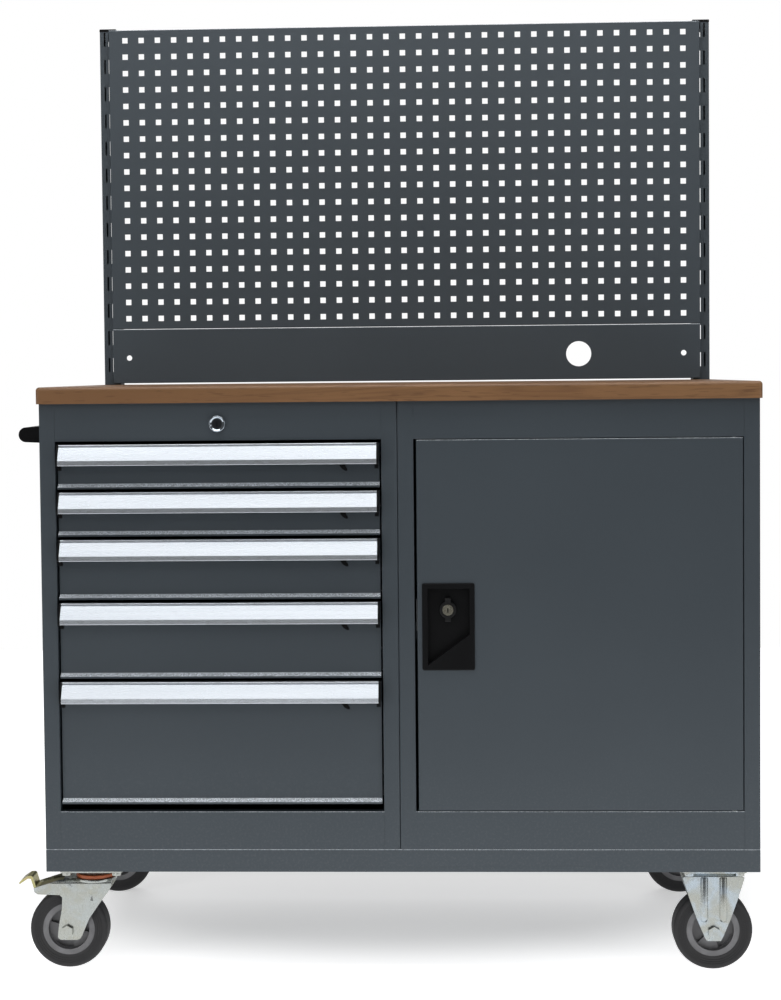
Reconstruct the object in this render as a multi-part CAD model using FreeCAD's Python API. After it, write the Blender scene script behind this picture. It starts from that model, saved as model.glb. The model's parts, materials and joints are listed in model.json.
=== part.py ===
import FreeCAD, Part
import math
import os

# Mobile workbench: two sheet steel cabinets on a wheeled base frame, a wooden worktop and a perforated back wall.
# Millimetres. The bench frame used while modelling has X = 0 between the two cabinets, Y = 0 on the cabinets'
# front face (Y grows to the back) and Z = 0 on the floor. Every solid is moved to the row frame at the end.

V = FreeCAD.Vector

# ---------------------------------------------------------------- driving dimensions
CABINET_W = 564.0            # one cabinet, side to side
CABINET_D = 572.0            # one cabinet, front to back
CABINET_H = 706.9            # one cabinet, floor plate to top flange
SHEET = 1.2                  # cabinet and panel sheet
SEAM_GAP = 0.5               # joint between the two cabinets
STILE_W = 25.0               # front posts of a cabinet
TOP_RAIL_H = 59.5
BOTTOM_RAIL_H = 60.0
RETURN_D = 20.0              # fold behind stiles and rails
EDGE_R = 2.0                 # bend radius of the cabinet's outer edges
SHELL_FOOT_R = 1.0           # rounding of a cabinet's lower edge
WELD_LINE = 0.5              # fine groove where rails meet stiles

BASE_H = 36.0                # base frame height
BASE_SHEET = 2.0
BASE_FLANGE = 32.0
BASE_TOP_R = 1.7             # rounding of the base frame's upper edge
PAD_T = 3.0                  # caster pads in the base frame

WORKTOP_T = 26.5
WORKTOP_SIDE = 3.0           # overhang at each side
WORKTOP_FRONT = 10.0         # overhang at the front
WORKTOP_R = 6.0

UPRIGHT_W = 30.0
UPRIGHT_D = 40.0
UPRIGHT_SHEET = 1.5
UPRIGHT_IN = 5.0             # upright's outer face in from the cabinet's side
UPRIGHT_BELOW = 374.0        # how far an upright reaches down behind the cabinets
SLOT_PITCH = 50.0
SLOT_W = 3.3
SLOT_H = 25.7
SLOT_TOP = 14.0              # first slot centre below the upright's top
SLOT_ROWS = (9.0, 17.5)      # slot rows, from the upright's outer face
CAP_T = 5.0
CAP_RIM = 0.4

PANEL_IN = 24.0              # panel's end in from the cabinet's side
PANEL_D = 15.0               # depth of a panel tray
PANEL_GAP = 2.7              # between worktop and lower panel
LOWER_PANEL_H = 99.4
PANEL_JOINT = 0.8            # between lower and perforated panel
HOLE_PITCH = 30.0
HOLE_SIDE = 10.0
HOLE_ROWS = 18
HOLE_MARGIN = 19.0           # outer hole row to the panel's top and bottom edge
LIP_W = 10.8
CABLE_HOLE_R = 23.0
CABLE_HOLE_X = 318.5
SMALL_HOLE_R = 5.0
SMALL_HOLE_IN = 30.0         # small holes in from the panel's ends
PANEL_HOLE_Z = 46.5          # holes above the lower panel's bottom edge

DRAWER_UNITS = (3, 3, 4, 5, 8)    # drawer module heights, top to bottom, in units of 25
DRAWER_TOP_GAP = 0.8         # opening edge to the first drawer's module
DRAWER_BOTTOM_GAP = 11.6     # last drawer's module to the opening's lower edge
DRAWER_SIDE_GAP = 3.0        # drawer front to stile
FRONT_SETBACK = 6.0          # drawer front behind the cabinet's front face
DRAWER_SHEET = 1.2
BOX_SIDE_GAP = 17.0          # stile edge to drawer box
BOX_SHORT = 67.0             # drawer box shorter than the cabinet is deep
BOX_LOW = 6.0                # box bottom above the front's bottom edge
BOX_BELOW_TOP = 25.0         # box rim below the module's top
RIM_W = 5.0
FRONT_LOW = 0.5              # front's bottom edge above the module's bottom
LIP_TOP = 8.5                # where the front starts to lean forward, above its bottom edge
LIP_LOW = 3.2
DRAWER_TRAVEL = 400.0

HANDLE_SHORT = 64.0          # grip strip shorter than the cabinet is wide
HANDLE_H = 32.4
HANDLE_REACH = 19.8          # how far the grip stands before the cabinet's face
HANDLE_DROP = 4.3            # grip's top edge below the module's top
HANDLE_WALL = 1.8
CAP_END_T = 3.0

RAIL_Z = 21.0                # runner's centre line above the box bottom
RAIL_HALF = 18.0
RAIL_LIP = 13.0
RAIL_WALL = 1.5
RAIL_SHORT = 72.0            # rail shorter than the cabinet is deep
RAIL_START = 25.0
RUNNER_HALF = 14.0
RUNNER_W = 14.0
RUNNER_GAP = 3.0             # runner's tip to the rail's web

LATCH_FROM_EDGE = 60.0       # finger catch centre from the stile's edge
LATCH_TRAVEL = 6.0
LATCH_DROP = 11.0
LATCH_BELOW = 17.0           # catch neck below the grip's top edge

LOCK_Z_BELOW_TOP = 33.1      # drawer lock centre below the cabinet's top
LOCK_PLUG_R = 9.0
ROSETTE_R = 13.0
ROSETTE_PROUD = 4.5          # how far the lock stands before the cabinet
LOCK_FIT = 0.05
BAR_TRAVEL = 8.0             # how far the locking bar drops
CAM_PIN_R = 2.0
STRIKER_Y = 33.0
STRIKER_IN = 12.0
LUG_Y = 27.0
BAR_T = 3.0

DOOR_GAP_LOCK = 4.5
DOOR_GAP_HINGE = 1.2
DOOR_GAP_TOP = 1.5
DOOR_GAP_BOTTOM = 1.5
DOOR_T = 20.0
DOOR_LIP = 15.0
HINGE_IN = 14.0              # hinge line in from the door's right edge
HINGE_BACK = 5.0             # hinge line behind the door's face
HINGE_PIN_R = 3.0
HINGE_FIT = 0.05
PIN_LONG = 14.0

SHELF_ABOVE_FLOOR = 330.0
SHELF_LIP = 25.0
SHELF_SIDE_GAP = 1.0

PLATE_IN = 7.6               # door lock plate in from the door's left edge
PLATE_W = 82.3
PLATE_H = 137.0
PLATE_TOP_DROP = 225.0       # lock plate top below the door's top edge
PLATE_T = 2.5
PLATE_R = 3.0
RECESS_FLOOR = 9.0
KNOB_R = 13.0
KNOB_X = 40.4                # knob centre from the plate's left edge
KNOB_DROP = 42.2             # knob centre below the plate's top edge
KNOB_PROUD = 2.4             # key cylinder's face before the door's face
SPINDLE_R = 5.0
BOLT_TRAVEL = 9.0
BOLT_T = 3.0
BOLT_Y = 12.0

HANDLE_Z_BELOW_TOP = 50.4    # push handle centre below the cabinet's top
PUSH_REACH = 50.0
PUSH_BAR_R = 12.0
PUSH_ARM_H = 27.5
PUSH_ARM_W = 24.0
PUSH_IN = 80.0               # push handle arms in from the cabinet's front and back

WHEEL_R = 62.5
WHEEL_HALF = 18.0
TYRE_RINGS = (46.5, 50.0, 53.5)
HUB_R = 42.0
HUB_WEB = 3.0                # web left between the hub's pockets
DISH_R = 33.0
POCKET_IN = 16.5
POCKET_OUT = 32.0
POCKET_ANGLE = 56.0
AXLE_R = 5.0
AXLE_FIT = 0.05
CASTER_INSET_X = 70.0        # caster plate centre from the cabinet's side
CASTER_INSET_Y = 52.0        # caster plate centre from the cabinet's front and back
CASTER_H = 164.4             # floor to the base frame
CASTER_PLATE_X = 100.0
CASTER_PLATE_Y = 90.0
CASTER_PLATE_T = 4.0
CASTER_BOLT_X = 40.0
CASTER_BOLT_Y = 36.0
TRAIL = 42.0
FORK_IN = 24.0               # inner face of a fork cheek from the wheel's middle plane
FORK_T = 3.0
PEDAL_REACH = 122.0          # pedal tip from the swivel axis
PEDAL_PIVOT = (-38.0, 134.0)      # brake pedal pivot: X from the swivel axis, Z from the floor
PEDAL_BOSS_R = 5.5
PEDAL_PIN_R = 3.0
KING_R = 6.0
KING_FIT = 0.05
CROWN_DROP = 14.9            # fork crown below the mounting plate
CROWN_T = 4.0
CROWN_BACK = 48.0            # crown's end behind the swivel axis
SHOULDER = 7.0               # bend radius where a fork's cheeks leave its crown
CREASE_X = -2.5              # pressed crease in a swivel fork's cheek, from the swivel axis
CREASE_R = 3.0
CREASE_DEPTH = 1.0
RACE_R = 34.0
RACE_GAP = 6.5               # between fork crown and upper race
SEAL_R = 31.0
SEAL_GAP = 0.4
RIB_H = 3.2                  # pressed ribs of a fixed fork
RIB_HALF = 6.0
RIB_X = 15.0
RIB_Z = (84.0, 149.0)

BOLT_R = 4.0                 # M8
BOLT_HEAD_AF = 13.0
BOLT_HEAD_H = 5.3
BOLT_HOLE_R = 4.5
SCREW_R = 2.0                # M4
SCREW_HEAD_R = 3.5
SCREW_HEAD_H = 2.4
SCREW_HOLE_R = 2.2

# ---------------------------------------------------------------- derived places
BASE_Z = CASTER_H
CAB_Z = BASE_Z + BASE_H
CAB_TOP = CAB_Z + CABINET_H
WORKTOP_Z = CAB_TOP + WORKTOP_T
HALF = CABINET_W
UPRIGHT_SPAN = 2 * (HALF - UPRIGHT_IN)
PANEL_SPAN = 2 * (HALF - PANEL_IN)
HOLE_COLS = int((PANEL_SPAN - 2 * LIP_W) / HOLE_PITCH)
SMALL_HOLE_SPAN = PANEL_SPAN - 2 * SMALL_HOLE_IN
BOX_DEPTH = CABINET_D - BOX_SHORT
RAIL_L = CABINET_D - RAIL_SHORT
HANDLE_L = CABINET_W - HANDLE_SHORT
OPENING_H = CABINET_H - TOP_RAIL_H - BOTTOM_RAIL_H
DRAWER_UNIT = (OPENING_H - DRAWER_TOP_GAP - DRAWER_BOTTOM_GAP) / sum(DRAWER_UNITS)
DRAWER_HEIGHTS = [units * DRAWER_UNIT for units in DRAWER_UNITS]
CATCH_Y = FRONT_SETBACK + DRAWER_SHEET + 1.5
OPEN_Z0 = CAB_Z + BOTTOM_RAIL_H
OPEN_Z1 = CAB_TOP - TOP_RAIL_H
LOWER_Z0 = WORKTOP_Z + PANEL_GAP
LOWER_Z1 = LOWER_Z0 + LOWER_PANEL_H
GRID_Z0 = LOWER_Z1 + PANEL_JOINT
GRID_Z1 = GRID_Z0 + 2 * HOLE_MARGIN + HOLE_PITCH * (HOLE_ROWS - 1)
UPRIGHT_Z0 = WORKTOP_Z - UPRIGHT_BELOW
PANEL_Y = CABINET_D - PANEL_D
FRONT_X0 = -HALF + STILE_W
FRONT_X1 = -STILE_W
DRAWER_MID = (FRONT_X0 + FRONT_X1) / 2
DOOR_X0 = STILE_W + DOOR_GAP_LOCK
DOOR_X1 = HALF - STILE_W - DOOR_GAP_HINGE
DOOR_Z0 = OPEN_Z0 + DOOR_GAP_BOTTOM
DOOR_Z1 = OPEN_Z1 - DOOR_GAP_TOP
HINGE_X = DOOR_X1 - HINGE_IN
SWIVEL_X = -HALF + CASTER_INSET_X
FIXED_X = HALF - CASTER_INSET_X
FRONT_WHEEL_Y = CASTER_INSET_Y
REAR_WHEEL_Y = CABINET_D - CASTER_INSET_Y
CASTER_PLATE_Z = BASE_Z - CASTER_PLATE_T
CROWN_TOP = CASTER_PLATE_Z - CROWN_DROP
FORK_OUT = FORK_IN + FORK_T

# the row frame's origin is the middle of the footprint's box, on the floor
LOW_X = SWIVEL_X - PEDAL_REACH
HIGH_X = HALF + WORKTOP_SIDE
LOW_Y = -HANDLE_REACH
HIGH_Y = CABINET_D + UPRIGHT_D
TO_ROW = V(-(LOW_X + HIGH_X) / 2, -(LOW_Y + HIGH_Y) / 2, 0)

nodes = {}


# ---------------------------------------------------------------- helpers
def box(x0, x1, y0, y1, z0, z1):
    return Part.makeBox(x1 - x0, y1 - y0, z1 - z0, V(x0, y0, z0))


def rod(radius, start, end):
    a, b = V(*start), V(*end)
    return Part.makeCylinder(radius, (b - a).Length, a, b - a)


def prism_x(points_yz, x0, x1):
    wire = Part.makePolygon([V(x0, y, z) for y, z in points_yz + points_yz[:1]])
    return Part.Face(wire).extrude(V(x1 - x0, 0, 0))


def prism_y(points_xz, y0, y1):
    wire = Part.makePolygon([V(x, y0, z) for x, z in points_xz + points_xz[:1]])
    return Part.Face(wire).extrude(V(0, y1 - y0, 0))


def prism_z(points_xy, z0, z1):
    wire = Part.makePolygon([V(x, y, z0) for x, y in points_xy + points_xy[:1]])
    return Part.Face(wire).extrude(V(0, 0, z1 - z0))


def hexagon(across_flats, start, end):
    """A hexagonal prism along the line from start to end."""
    a, b = V(*start), V(*end)
    along = (b - a).normalize()
    side = along.cross(V(0, 0, 1)) if abs(along.z) < 0.9 else V(1, 0, 0)
    side.normalize()
    other = along.cross(side)
    radius = across_flats / math.sqrt(3)
    ring = []
    for k in range(7):
        turn = math.radians(60 * k + 30)
        ring.append(a + side * (radius * math.cos(turn)) + other * (radius * math.sin(turn)))
    return Part.Face(Part.makePolygon(ring)).extrude(V(*end) - a)


def joined(first, *others):
    return first.fuse(list(others)).removeSplitter()


def rounded(shape, radius, wanted):
    """Fillet the edges for which wanted(edge's middle, edge's direction) is true."""
    edges = []
    for edge in shape.Edges:
        if edge.Curve.TypeId != "Part::GeomLine":
            continue
        ends = edge.Vertexes
        direction = (ends[1].Point - ends[0].Point).normalize()
        if wanted(edge.CenterOfMass, direction):
            edges.append(edge)
    return shape.makeFillet(radius, edges) if edges else shape


def keep(name, *solids):
    """Store a node: one solid, or a group of separate ones."""
    moved = []
    for solid in solids:
        copy = solid.copy()
        copy.translate(TO_ROW)
        moved.append(copy)
    nodes[name] = moved[0] if len(moved) == 1 else Part.makeCompound(moved)


# ---------------------------------------------------------------- base frame
def base_frame():
    """Welded ring of folded channel with a pad in each corner for a caster."""
    outer = box(-HALF, HALF, 0, CABINET_D, BASE_Z, CAB_Z)
    outer = rounded(outer, EDGE_R, lambda m, d: abs(d.z) > 0.9)
    outer = outer.makeFillet(BASE_TOP_R, [e for e in outer.Edges if e.BoundBox.ZMin > CAB_Z - 0.01])
    inside = box(-HALF + BASE_SHEET, HALF - BASE_SHEET, BASE_SHEET, CABINET_D - BASE_SHEET,
                 BASE_Z + BASE_SHEET, CAB_Z - BASE_SHEET)
    middle = box(-HALF + BASE_FLANGE, HALF - BASE_FLANGE, BASE_FLANGE, CABINET_D - BASE_FLANGE,
                 BASE_Z - 1, CAB_Z + 1)
    ring = outer.cut([inside, middle])
    pads = []
    pad_x = CASTER_PLATE_X + 30
    pad_y = CASTER_INSET_Y + CASTER_PLATE_Y / 2 + 12
    for x in (SWIVEL_X, FIXED_X):
        side = -HALF if x < 0 else HALF
        x_in = x + pad_x / 2 if x < 0 else x - pad_x / 2
        for y0, y1 in ((0.5, pad_y), (CABINET_D - pad_y, CABINET_D - 0.5)):
            edge = side + 0.5 if x < 0 else side - 0.5
            pads.append(box(min(edge, x_in), max(edge, x_in), y0, y1, BASE_Z, BASE_Z + PAD_T))
    cross = []
    for x in (-SEAM_GAP - 40, SEAM_GAP + 38):
        cross.append(box(x, x + 2, BASE_SHEET, CABINET_D - BASE_SHEET, BASE_Z, CAB_Z))
    frame = joined(ring, *pads, *cross)
    holes = [rod(BOLT_HOLE_R, (x, y, BASE_Z - 1), (x, y, BASE_Z + PAD_T + 1)) for x, y in caster_bolt_places()]
    return frame.cut(holes)


def caster_bolt_places():
    places = []
    for cx in (SWIVEL_X, FIXED_X):
        for cy in (FRONT_WHEEL_Y, REAR_WHEEL_Y):
            for sx in (-1, 1):
                for sy in (-1, 1):
                    places.append((cx + sx * CASTER_BOLT_X, cy + sy * CASTER_BOLT_Y))
    return places


# ---------------------------------------------------------------- cabinets
def cabinet_shell(x0, x1):
    """One cabinet body between x0 and x1: sides, back, floor, top flange and welded front frame."""
    outer = box(x0, x1, 0, CABINET_D, CAB_Z, CAB_TOP)
    outer = rounded(outer, EDGE_R, lambda m, d: abs(d.z) > 0.9)
    outer = outer.makeFillet(SHELL_FOOT_R, [e for e in outer.Edges if e.BoundBox.ZMax < CAB_Z + 0.01])
    hollow = box(x0 + SHEET, x1 - SHEET, SHEET, CABINET_D - SHEET, CAB_Z + SHEET, CAB_TOP - SHEET)
    top_hole = box(x0 + STILE_W, x1 - STILE_W, STILE_W, CABINET_D - STILE_W, CAB_TOP - 2 * SHEET, CAB_TOP + 1)
    front_hole = box(x0 + STILE_W, x1 - STILE_W, -1, SHEET + 1, OPEN_Z0, OPEN_Z1)
    shell = outer.cut([hollow, top_hole, front_hole])
    left, right = x0 + STILE_W, x1 - STILE_W
    returns = [
        box(left - SHEET, left, 0, RETURN_D, CAB_Z, CAB_TOP),
        box(right, right + SHEET, 0, RETURN_D, CAB_Z, CAB_TOP),
        box(left, right, 0, RETURN_D, OPEN_Z0 - SHEET, OPEN_Z0),
        box(left, right, 0, RETURN_D, OPEN_Z1, OPEN_Z1 + SHEET),
    ]
    shell = joined(shell, *returns)
    shell = rounded(shell, EDGE_R / 2, lambda m, d: abs(m.y) < 0.01 and (
        (abs(d.x) > 0.9 and min(abs(m.z - OPEN_Z0), abs(m.z - OPEN_Z1)) < 0.01)
        or (abs(d.z) > 0.9 and min(abs(m.x - left), abs(m.x - right)) < 0.01 and OPEN_Z0 < m.z < OPEN_Z1)))
    grooves = []
    for x in (left - WELD_LINE, right):
        for z0, z1 in ((CAB_Z - 1, OPEN_Z0 - EDGE_R), (OPEN_Z1 + EDGE_R, CAB_TOP + 1)):
            grooves.append(box(x, x + WELD_LINE, -1, 0.35, z0, z1))
    return shell.cut(grooves)


def upright_bolt_heights():
    """Bolt places in the plain stretches between slots, behind the cabinets."""
    top = GRID_Z1
    places = []
    z = top - SLOT_TOP - SLOT_PITCH / 2
    while z > UPRIGHT_Z0 + 20:
        if z < CAB_TOP - 10:
            places.append(z)
        z -= SLOT_PITCH
    return places[::3]


def upright_mid(side):
    return side * (UPRIGHT_SPAN / 2 - UPRIGHT_W / 2)


def upright_bolt_holes(x):
    return [rod(BOLT_HOLE_R, (x, CABINET_D - 10, z), (x, CABINET_D + 10, z)) for z in upright_bolt_heights()]


def worktop_screw_places():
    places = []
    for x0, x1 in ((-HALF, 0), (0, HALF)):
        for x in (x0 + STILE_W + 60, x1 - STILE_W - 60):
            for y in (STILE_W / 2 + 1, CABINET_D - STILE_W / 2 - 1):
                places.append((x, y))
    return places


def worktop_screw_holes(radius):
    return [rod(radius, (x, y, CAB_TOP - 3), (x, y, CAB_TOP + 14)) for x, y in worktop_screw_places()]


def drawer_cabinet():
    shell = cabinet_shell(-HALF, -SEAM_GAP / 2)
    lock_z = CAB_TOP - LOCK_Z_BELOW_TOP
    lock_hole = rod(LOCK_PLUG_R + 2, (DRAWER_MID, -1, lock_z), (DRAWER_MID, 10, lock_z))
    return shell.cut([lock_hole] + upright_bolt_holes(upright_mid(-1)) + worktop_screw_holes(SCREW_HOLE_R))


def door_cabinet():
    shell = cabinet_shell(SEAM_GAP / 2, HALF)
    bolt_z0, bolt_z1 = door_bolt_span()
    strike = box(STILE_W - 3, STILE_W + 1, BOLT_Y - 1.5, BOLT_Y + BOLT_T + 1.5, bolt_z0 - 2, bolt_z1 + 2)
    hinge_holes = [
        rod(HINGE_PIN_R, (HINGE_X, HINGE_BACK, OPEN_Z0 - 5), (HINGE_X, HINGE_BACK, OPEN_Z0 + 1)),
        rod(HINGE_PIN_R, (HINGE_X, HINGE_BACK, OPEN_Z1 - 1), (HINGE_X, HINGE_BACK, OPEN_Z1 + 5)),
    ]
    shelf_z = CAB_Z + SHELF_ABOVE_FLOOR
    tabs = []
    for y in (60, CABINET_D - 80):
        tabs.append(box(SEAM_GAP / 2 + SHEET, SEAM_GAP / 2 + SHEET + 10, y, y + 20, shelf_z - 2, shelf_z))
        tabs.append(box(HALF - SHEET - 10, HALF - SHEET, y, y + 20, shelf_z - 2, shelf_z))
    shell = joined(shell, *tabs)
    holes = [strike] + hinge_holes + upright_bolt_holes(upright_mid(1)) + worktop_screw_holes(SCREW_HOLE_R)
    return shell.cut(holes)


def shelf():
    x0 = SEAM_GAP / 2 + SHEET + SHELF_SIDE_GAP
    x1 = HALF - SHEET - SHELF_SIDE_GAP
    y0, y1 = RETURN_D + 6, CABINET_D - SHEET - 2
    z = CAB_Z + SHELF_ABOVE_FLOOR
    tray = box(x0, x1, y0, y1, z, z + SHELF_LIP)
    hollow = box(x0 + SHEET, x1 - SHEET, y0 + SHEET, y1 - SHEET, z - 1, z + SHELF_LIP - SHEET)
    flange = box(x0, x1, y0, y0 + 12, z, z + SHEET)
    back_flange = box(x0, x1, y1 - 12, y1, z, z + SHEET)
    return joined(tray.cut(hollow), flange, back_flange)


# ---------------------------------------------------------------- worktop, uprights and panels
def worktop():
    board = box(-HALF - WORKTOP_SIDE, HALF + WORKTOP_SIDE, -WORKTOP_FRONT, CABINET_D - 0.5, CAB_TOP, WORKTOP_Z)
    board = rounded(board, WORKTOP_R, lambda m, d: abs(d.z) > 0.9 and m.y < 0)
    top = [e for e in board.Edges if abs(e.BoundBox.ZMin - WORKTOP_Z) < 0.01 and abs(e.BoundBox.ZMax - WORKTOP_Z) < 0.01]
    front = [e for e in top if e.BoundBox.YMin < CABINET_D - 5]
    board = board.makeFillet(WORKTOP_R - 0.5, front)
    return board.cut(worktop_screw_holes(SCREW_R))


def upright(side):
    """C channel, open to the back, with two rows of hanging slots in its face."""
    outer_x = side * UPRIGHT_SPAN / 2
    inner_x = outer_x - side * UPRIGHT_W
    x0, x1 = min(outer_x, inner_x), max(outer_x, inner_x)
    top = GRID_Z1
    bar = box(x0, x1, CABINET_D, CABINET_D + UPRIGHT_D, UPRIGHT_Z0, top)
    bar = rounded(bar, EDGE_R / 2, lambda m, d: abs(d.z) > 0.9 and m.y < CABINET_D + 1)
    inside = box(x0 + UPRIGHT_SHEET, x1 - UPRIGHT_SHEET, CABINET_D + UPRIGHT_SHEET, CABINET_D + UPRIGHT_D + 1,
                 UPRIGHT_Z0 - 1, top + 1)
    lips = []
    for a, b in ((x0, x0 + 8), (x1 - 8, x1)):
        lips.append(box(a, b, CABINET_D + UPRIGHT_D - UPRIGHT_SHEET, CABINET_D + UPRIGHT_D, UPRIGHT_Z0, top))
    bar = joined(bar.cut(inside), *lips)
    cuts = upright_bolt_holes(upright_mid(side))
    z = top - SLOT_TOP
    while z - SLOT_H / 2 > UPRIGHT_Z0 + 5:
        for row in SLOT_ROWS:
            x = outer_x - side * row
            cuts.append(box(x - SLOT_W / 2, x + SLOT_W / 2, CABINET_D - 1, CABINET_D + UPRIGHT_SHEET + 1,
                            z - SLOT_H / 2, z + SLOT_H / 2))
        z -= SLOT_PITCH
    for z in panel_screw_heights():
        x = panel_screw_x(side)
        cuts.append(rod(SCREW_HOLE_R, (x, CABINET_D - 1, z), (x, CABINET_D + 3, z)))
    return bar.cut(cuts)


def upright_cap(side):
    mid = upright_mid(side)
    x0, x1 = mid - UPRIGHT_W / 2 - CAP_RIM, mid + UPRIGHT_W / 2 + CAP_RIM
    lid = box(x0, x1, CABINET_D - CAP_RIM, CABINET_D + UPRIGHT_D, GRID_Z1, GRID_Z1 + CAP_T)
    lid = lid.makeFillet(1.5, [e for e in lid.Edges if e.BoundBox.ZMin > GRID_Z1 + CAP_T - 0.01])
    inset = UPRIGHT_SHEET + 0.2
    plug = box(x0 + CAP_RIM + inset, x1 - CAP_RIM - inset, CABINET_D + inset, CABINET_D + UPRIGHT_D - inset,
               GRID_Z1 - 12, GRID_Z1 + 1)
    return joined(lid, plug)


def panel_screw_x(side):
    return side * (PANEL_SPAN / 2 - LIP_W / 2)


def panel_screw_heights():
    return (LOWER_Z0 + 12, LOWER_Z1 - 14, GRID_Z0 + 25, GRID_Z1 - 39)


def panel_tray(z0, z1):
    """A folded tray: face sheet, four edges turned back, and two side lips that lie on the uprights."""
    x1 = PANEL_SPAN / 2
    tray = box(-x1, x1, PANEL_Y, CABINET_D, z0, z1)
    tray = rounded(tray, SHEET, lambda m, d: m.y < PANEL_Y + 0.01)
    hollow = box(-x1 + SHEET, x1 - SHEET, PANEL_Y + SHEET, CABINET_D + 1, z0 + SHEET, z1 - SHEET)
    lips = []
    for side in (-1, 1):
        a, b = side * x1, side * (x1 - LIP_W)
        lips.append(box(min(a, b), max(a, b), CABINET_D - SHEET, CABINET_D, z0, z1))
    tray = joined(tray.cut(hollow), *lips)
    cuts = []
    for side in (-1, 1):
        for z in panel_screw_heights():
            if z0 < z < z1:
                x = panel_screw_x(side)
                cuts.append(rod(SCREW_HOLE_R, (x, CABINET_D - 5, z), (x, CABINET_D + 1, z)))
    return tray.cut(cuts)


def perforated_panel():
    tray = panel_tray(GRID_Z0, GRID_Z1)
    holes = []
    for col in range(HOLE_COLS):
        x = (col - (HOLE_COLS - 1) / 2) * HOLE_PITCH
        for row in range(HOLE_ROWS):
            z = GRID_Z1 - HOLE_MARGIN - row * HOLE_PITCH
            half = HOLE_SIDE / 2
            holes.append(box(x - half, x + half, PANEL_Y - 1, PANEL_Y + SHEET + 1, z - half, z + half))
    return tray.cut(Part.makeCompound(holes))


def lower_panel():
    tray = panel_tray(LOWER_Z0, LOWER_Z1)
    z = LOWER_Z0 + PANEL_HOLE_Z
    cuts = [rod(CABLE_HOLE_R, (CABLE_HOLE_X, PANEL_Y - 1, z), (CABLE_HOLE_X, PANEL_Y + SHEET + 1, z))]
    for side in (-1, 1):
        x = side * SMALL_HOLE_SPAN / 2
        cuts.append(rod(SMALL_HOLE_R, (x, PANEL_Y - 1, z), (x, PANEL_Y + SHEET + 1, z)))
    return tray.cut(cuts)


# ---------------------------------------------------------------- fasteners
def hex_bolt(start, end, nut_at):
    """M8 bolt: its head starts at start, its thread ends at end, and the nut's face is at nut_at."""
    a, b, n = V(*start), V(*end), V(*nut_at)
    along = (b - a).normalize()
    head_end = a + along * BOLT_HEAD_H
    nut_end = n + along * 6.0
    head = hexagon(BOLT_HEAD_AF, tuple(a), tuple(head_end))
    shank = rod(BOLT_R, tuple(a), tuple(b))
    nut = hexagon(BOLT_HEAD_AF, tuple(n), tuple(nut_end))
    return joined(head, shank, nut)


def hex_bolts():
    bolts = []
    for x, y in caster_bolt_places():
        head = (x, y, CASTER_PLATE_Z - BOLT_HEAD_H)
        bolts.append(hex_bolt(head, (x, y, BASE_Z + PAD_T + 9), (x, y, BASE_Z + PAD_T)))
    for side in (-1, 1):
        x = upright_mid(side)
        for z in upright_bolt_heights():
            head = (x, CABINET_D + UPRIGHT_SHEET + BOLT_HEAD_H, z)
            nut = (x, CABINET_D - SHEET, z)
            bolts.append(hex_bolt(head, (x, CABINET_D - SHEET - 8, z), nut))
    return bolts


def pan_head_screws():
    screws = []
    for side in (-1, 1):
        x = panel_screw_x(side)
        for z in panel_screw_heights():
            seat = CABINET_D + UPRIGHT_SHEET
            head = rod(SCREW_HEAD_R, (x, seat, z), (x, seat + SCREW_HEAD_H, z))
            screws.append(joined(head, rod(SCREW_R, (x, CABINET_D - 7, z), (x, seat + 1, z))))
    for x, y in worktop_screw_places():
        seat = CAB_TOP - SHEET
        head = rod(SCREW_HEAD_R, (x, y, seat - SCREW_HEAD_H), (x, y, seat))
        screws.append(joined(head, rod(SCREW_R, (x, y, seat - 1), (x, y, CAB_TOP + 14))))
    return screws


# ---------------------------------------------------------------- push handle
def push_handle():
    """One moulded bow: a round bar held off the cabinet's side by two tapering arms."""
    z = CAB_TOP - HANDLE_Z_BELOW_TOP
    x_bar = -HALF - PUSH_REACH + PUSH_BAR_R
    y0, y1 = PUSH_IN, CABINET_D - PUSH_IN
    bar = rod(PUSH_BAR_R, (x_bar, y0, z), (x_bar, y1, z))
    pieces = []
    for a, b in ((y0, y0 + PUSH_ARM_W), (y1 - PUSH_ARM_W, y1)):
        tall, low = PUSH_ARM_H / 2, PUSH_BAR_R
        outline = [(-HALF, z - tall), (-HALF, z + tall), (x_bar, z + low), (x_bar, z - low)]
        pieces.append(prism_y(outline, a, b))
        pieces.append(box(-HALF - 4, -HALF, a - 6, b + 6, z - 20, z + 20))
    return joined(bar, *pieces)


# ---------------------------------------------------------------- drawers
def module_tops():
    tops = []
    top = OPEN_Z1 - DRAWER_TOP_GAP
    for height in DRAWER_HEIGHTS:
        tops.append(top)
        top -= height
    return tops


def drawer_levels(index):
    top = module_tops()[index]
    bottom = top - DRAWER_HEIGHTS[index] + FRONT_LOW
    return top, bottom


def latch_x():
    return FRONT_X1 - LATCH_FROM_EDGE


def latch_z(index):
    return drawer_levels(index)[0] - HANDLE_DROP - LATCH_BELOW


def catch_slot(index, y0, y1, spare):
    """The slot for the finger catch's neck, long enough for its travel."""
    x, z = latch_x(), latch_z(index)
    return box(x - 3 - LATCH_TRAVEL - spare, x + 3 + spare, y0, y1, z - 2.5 - spare, z + 2.5 + spare)


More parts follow.
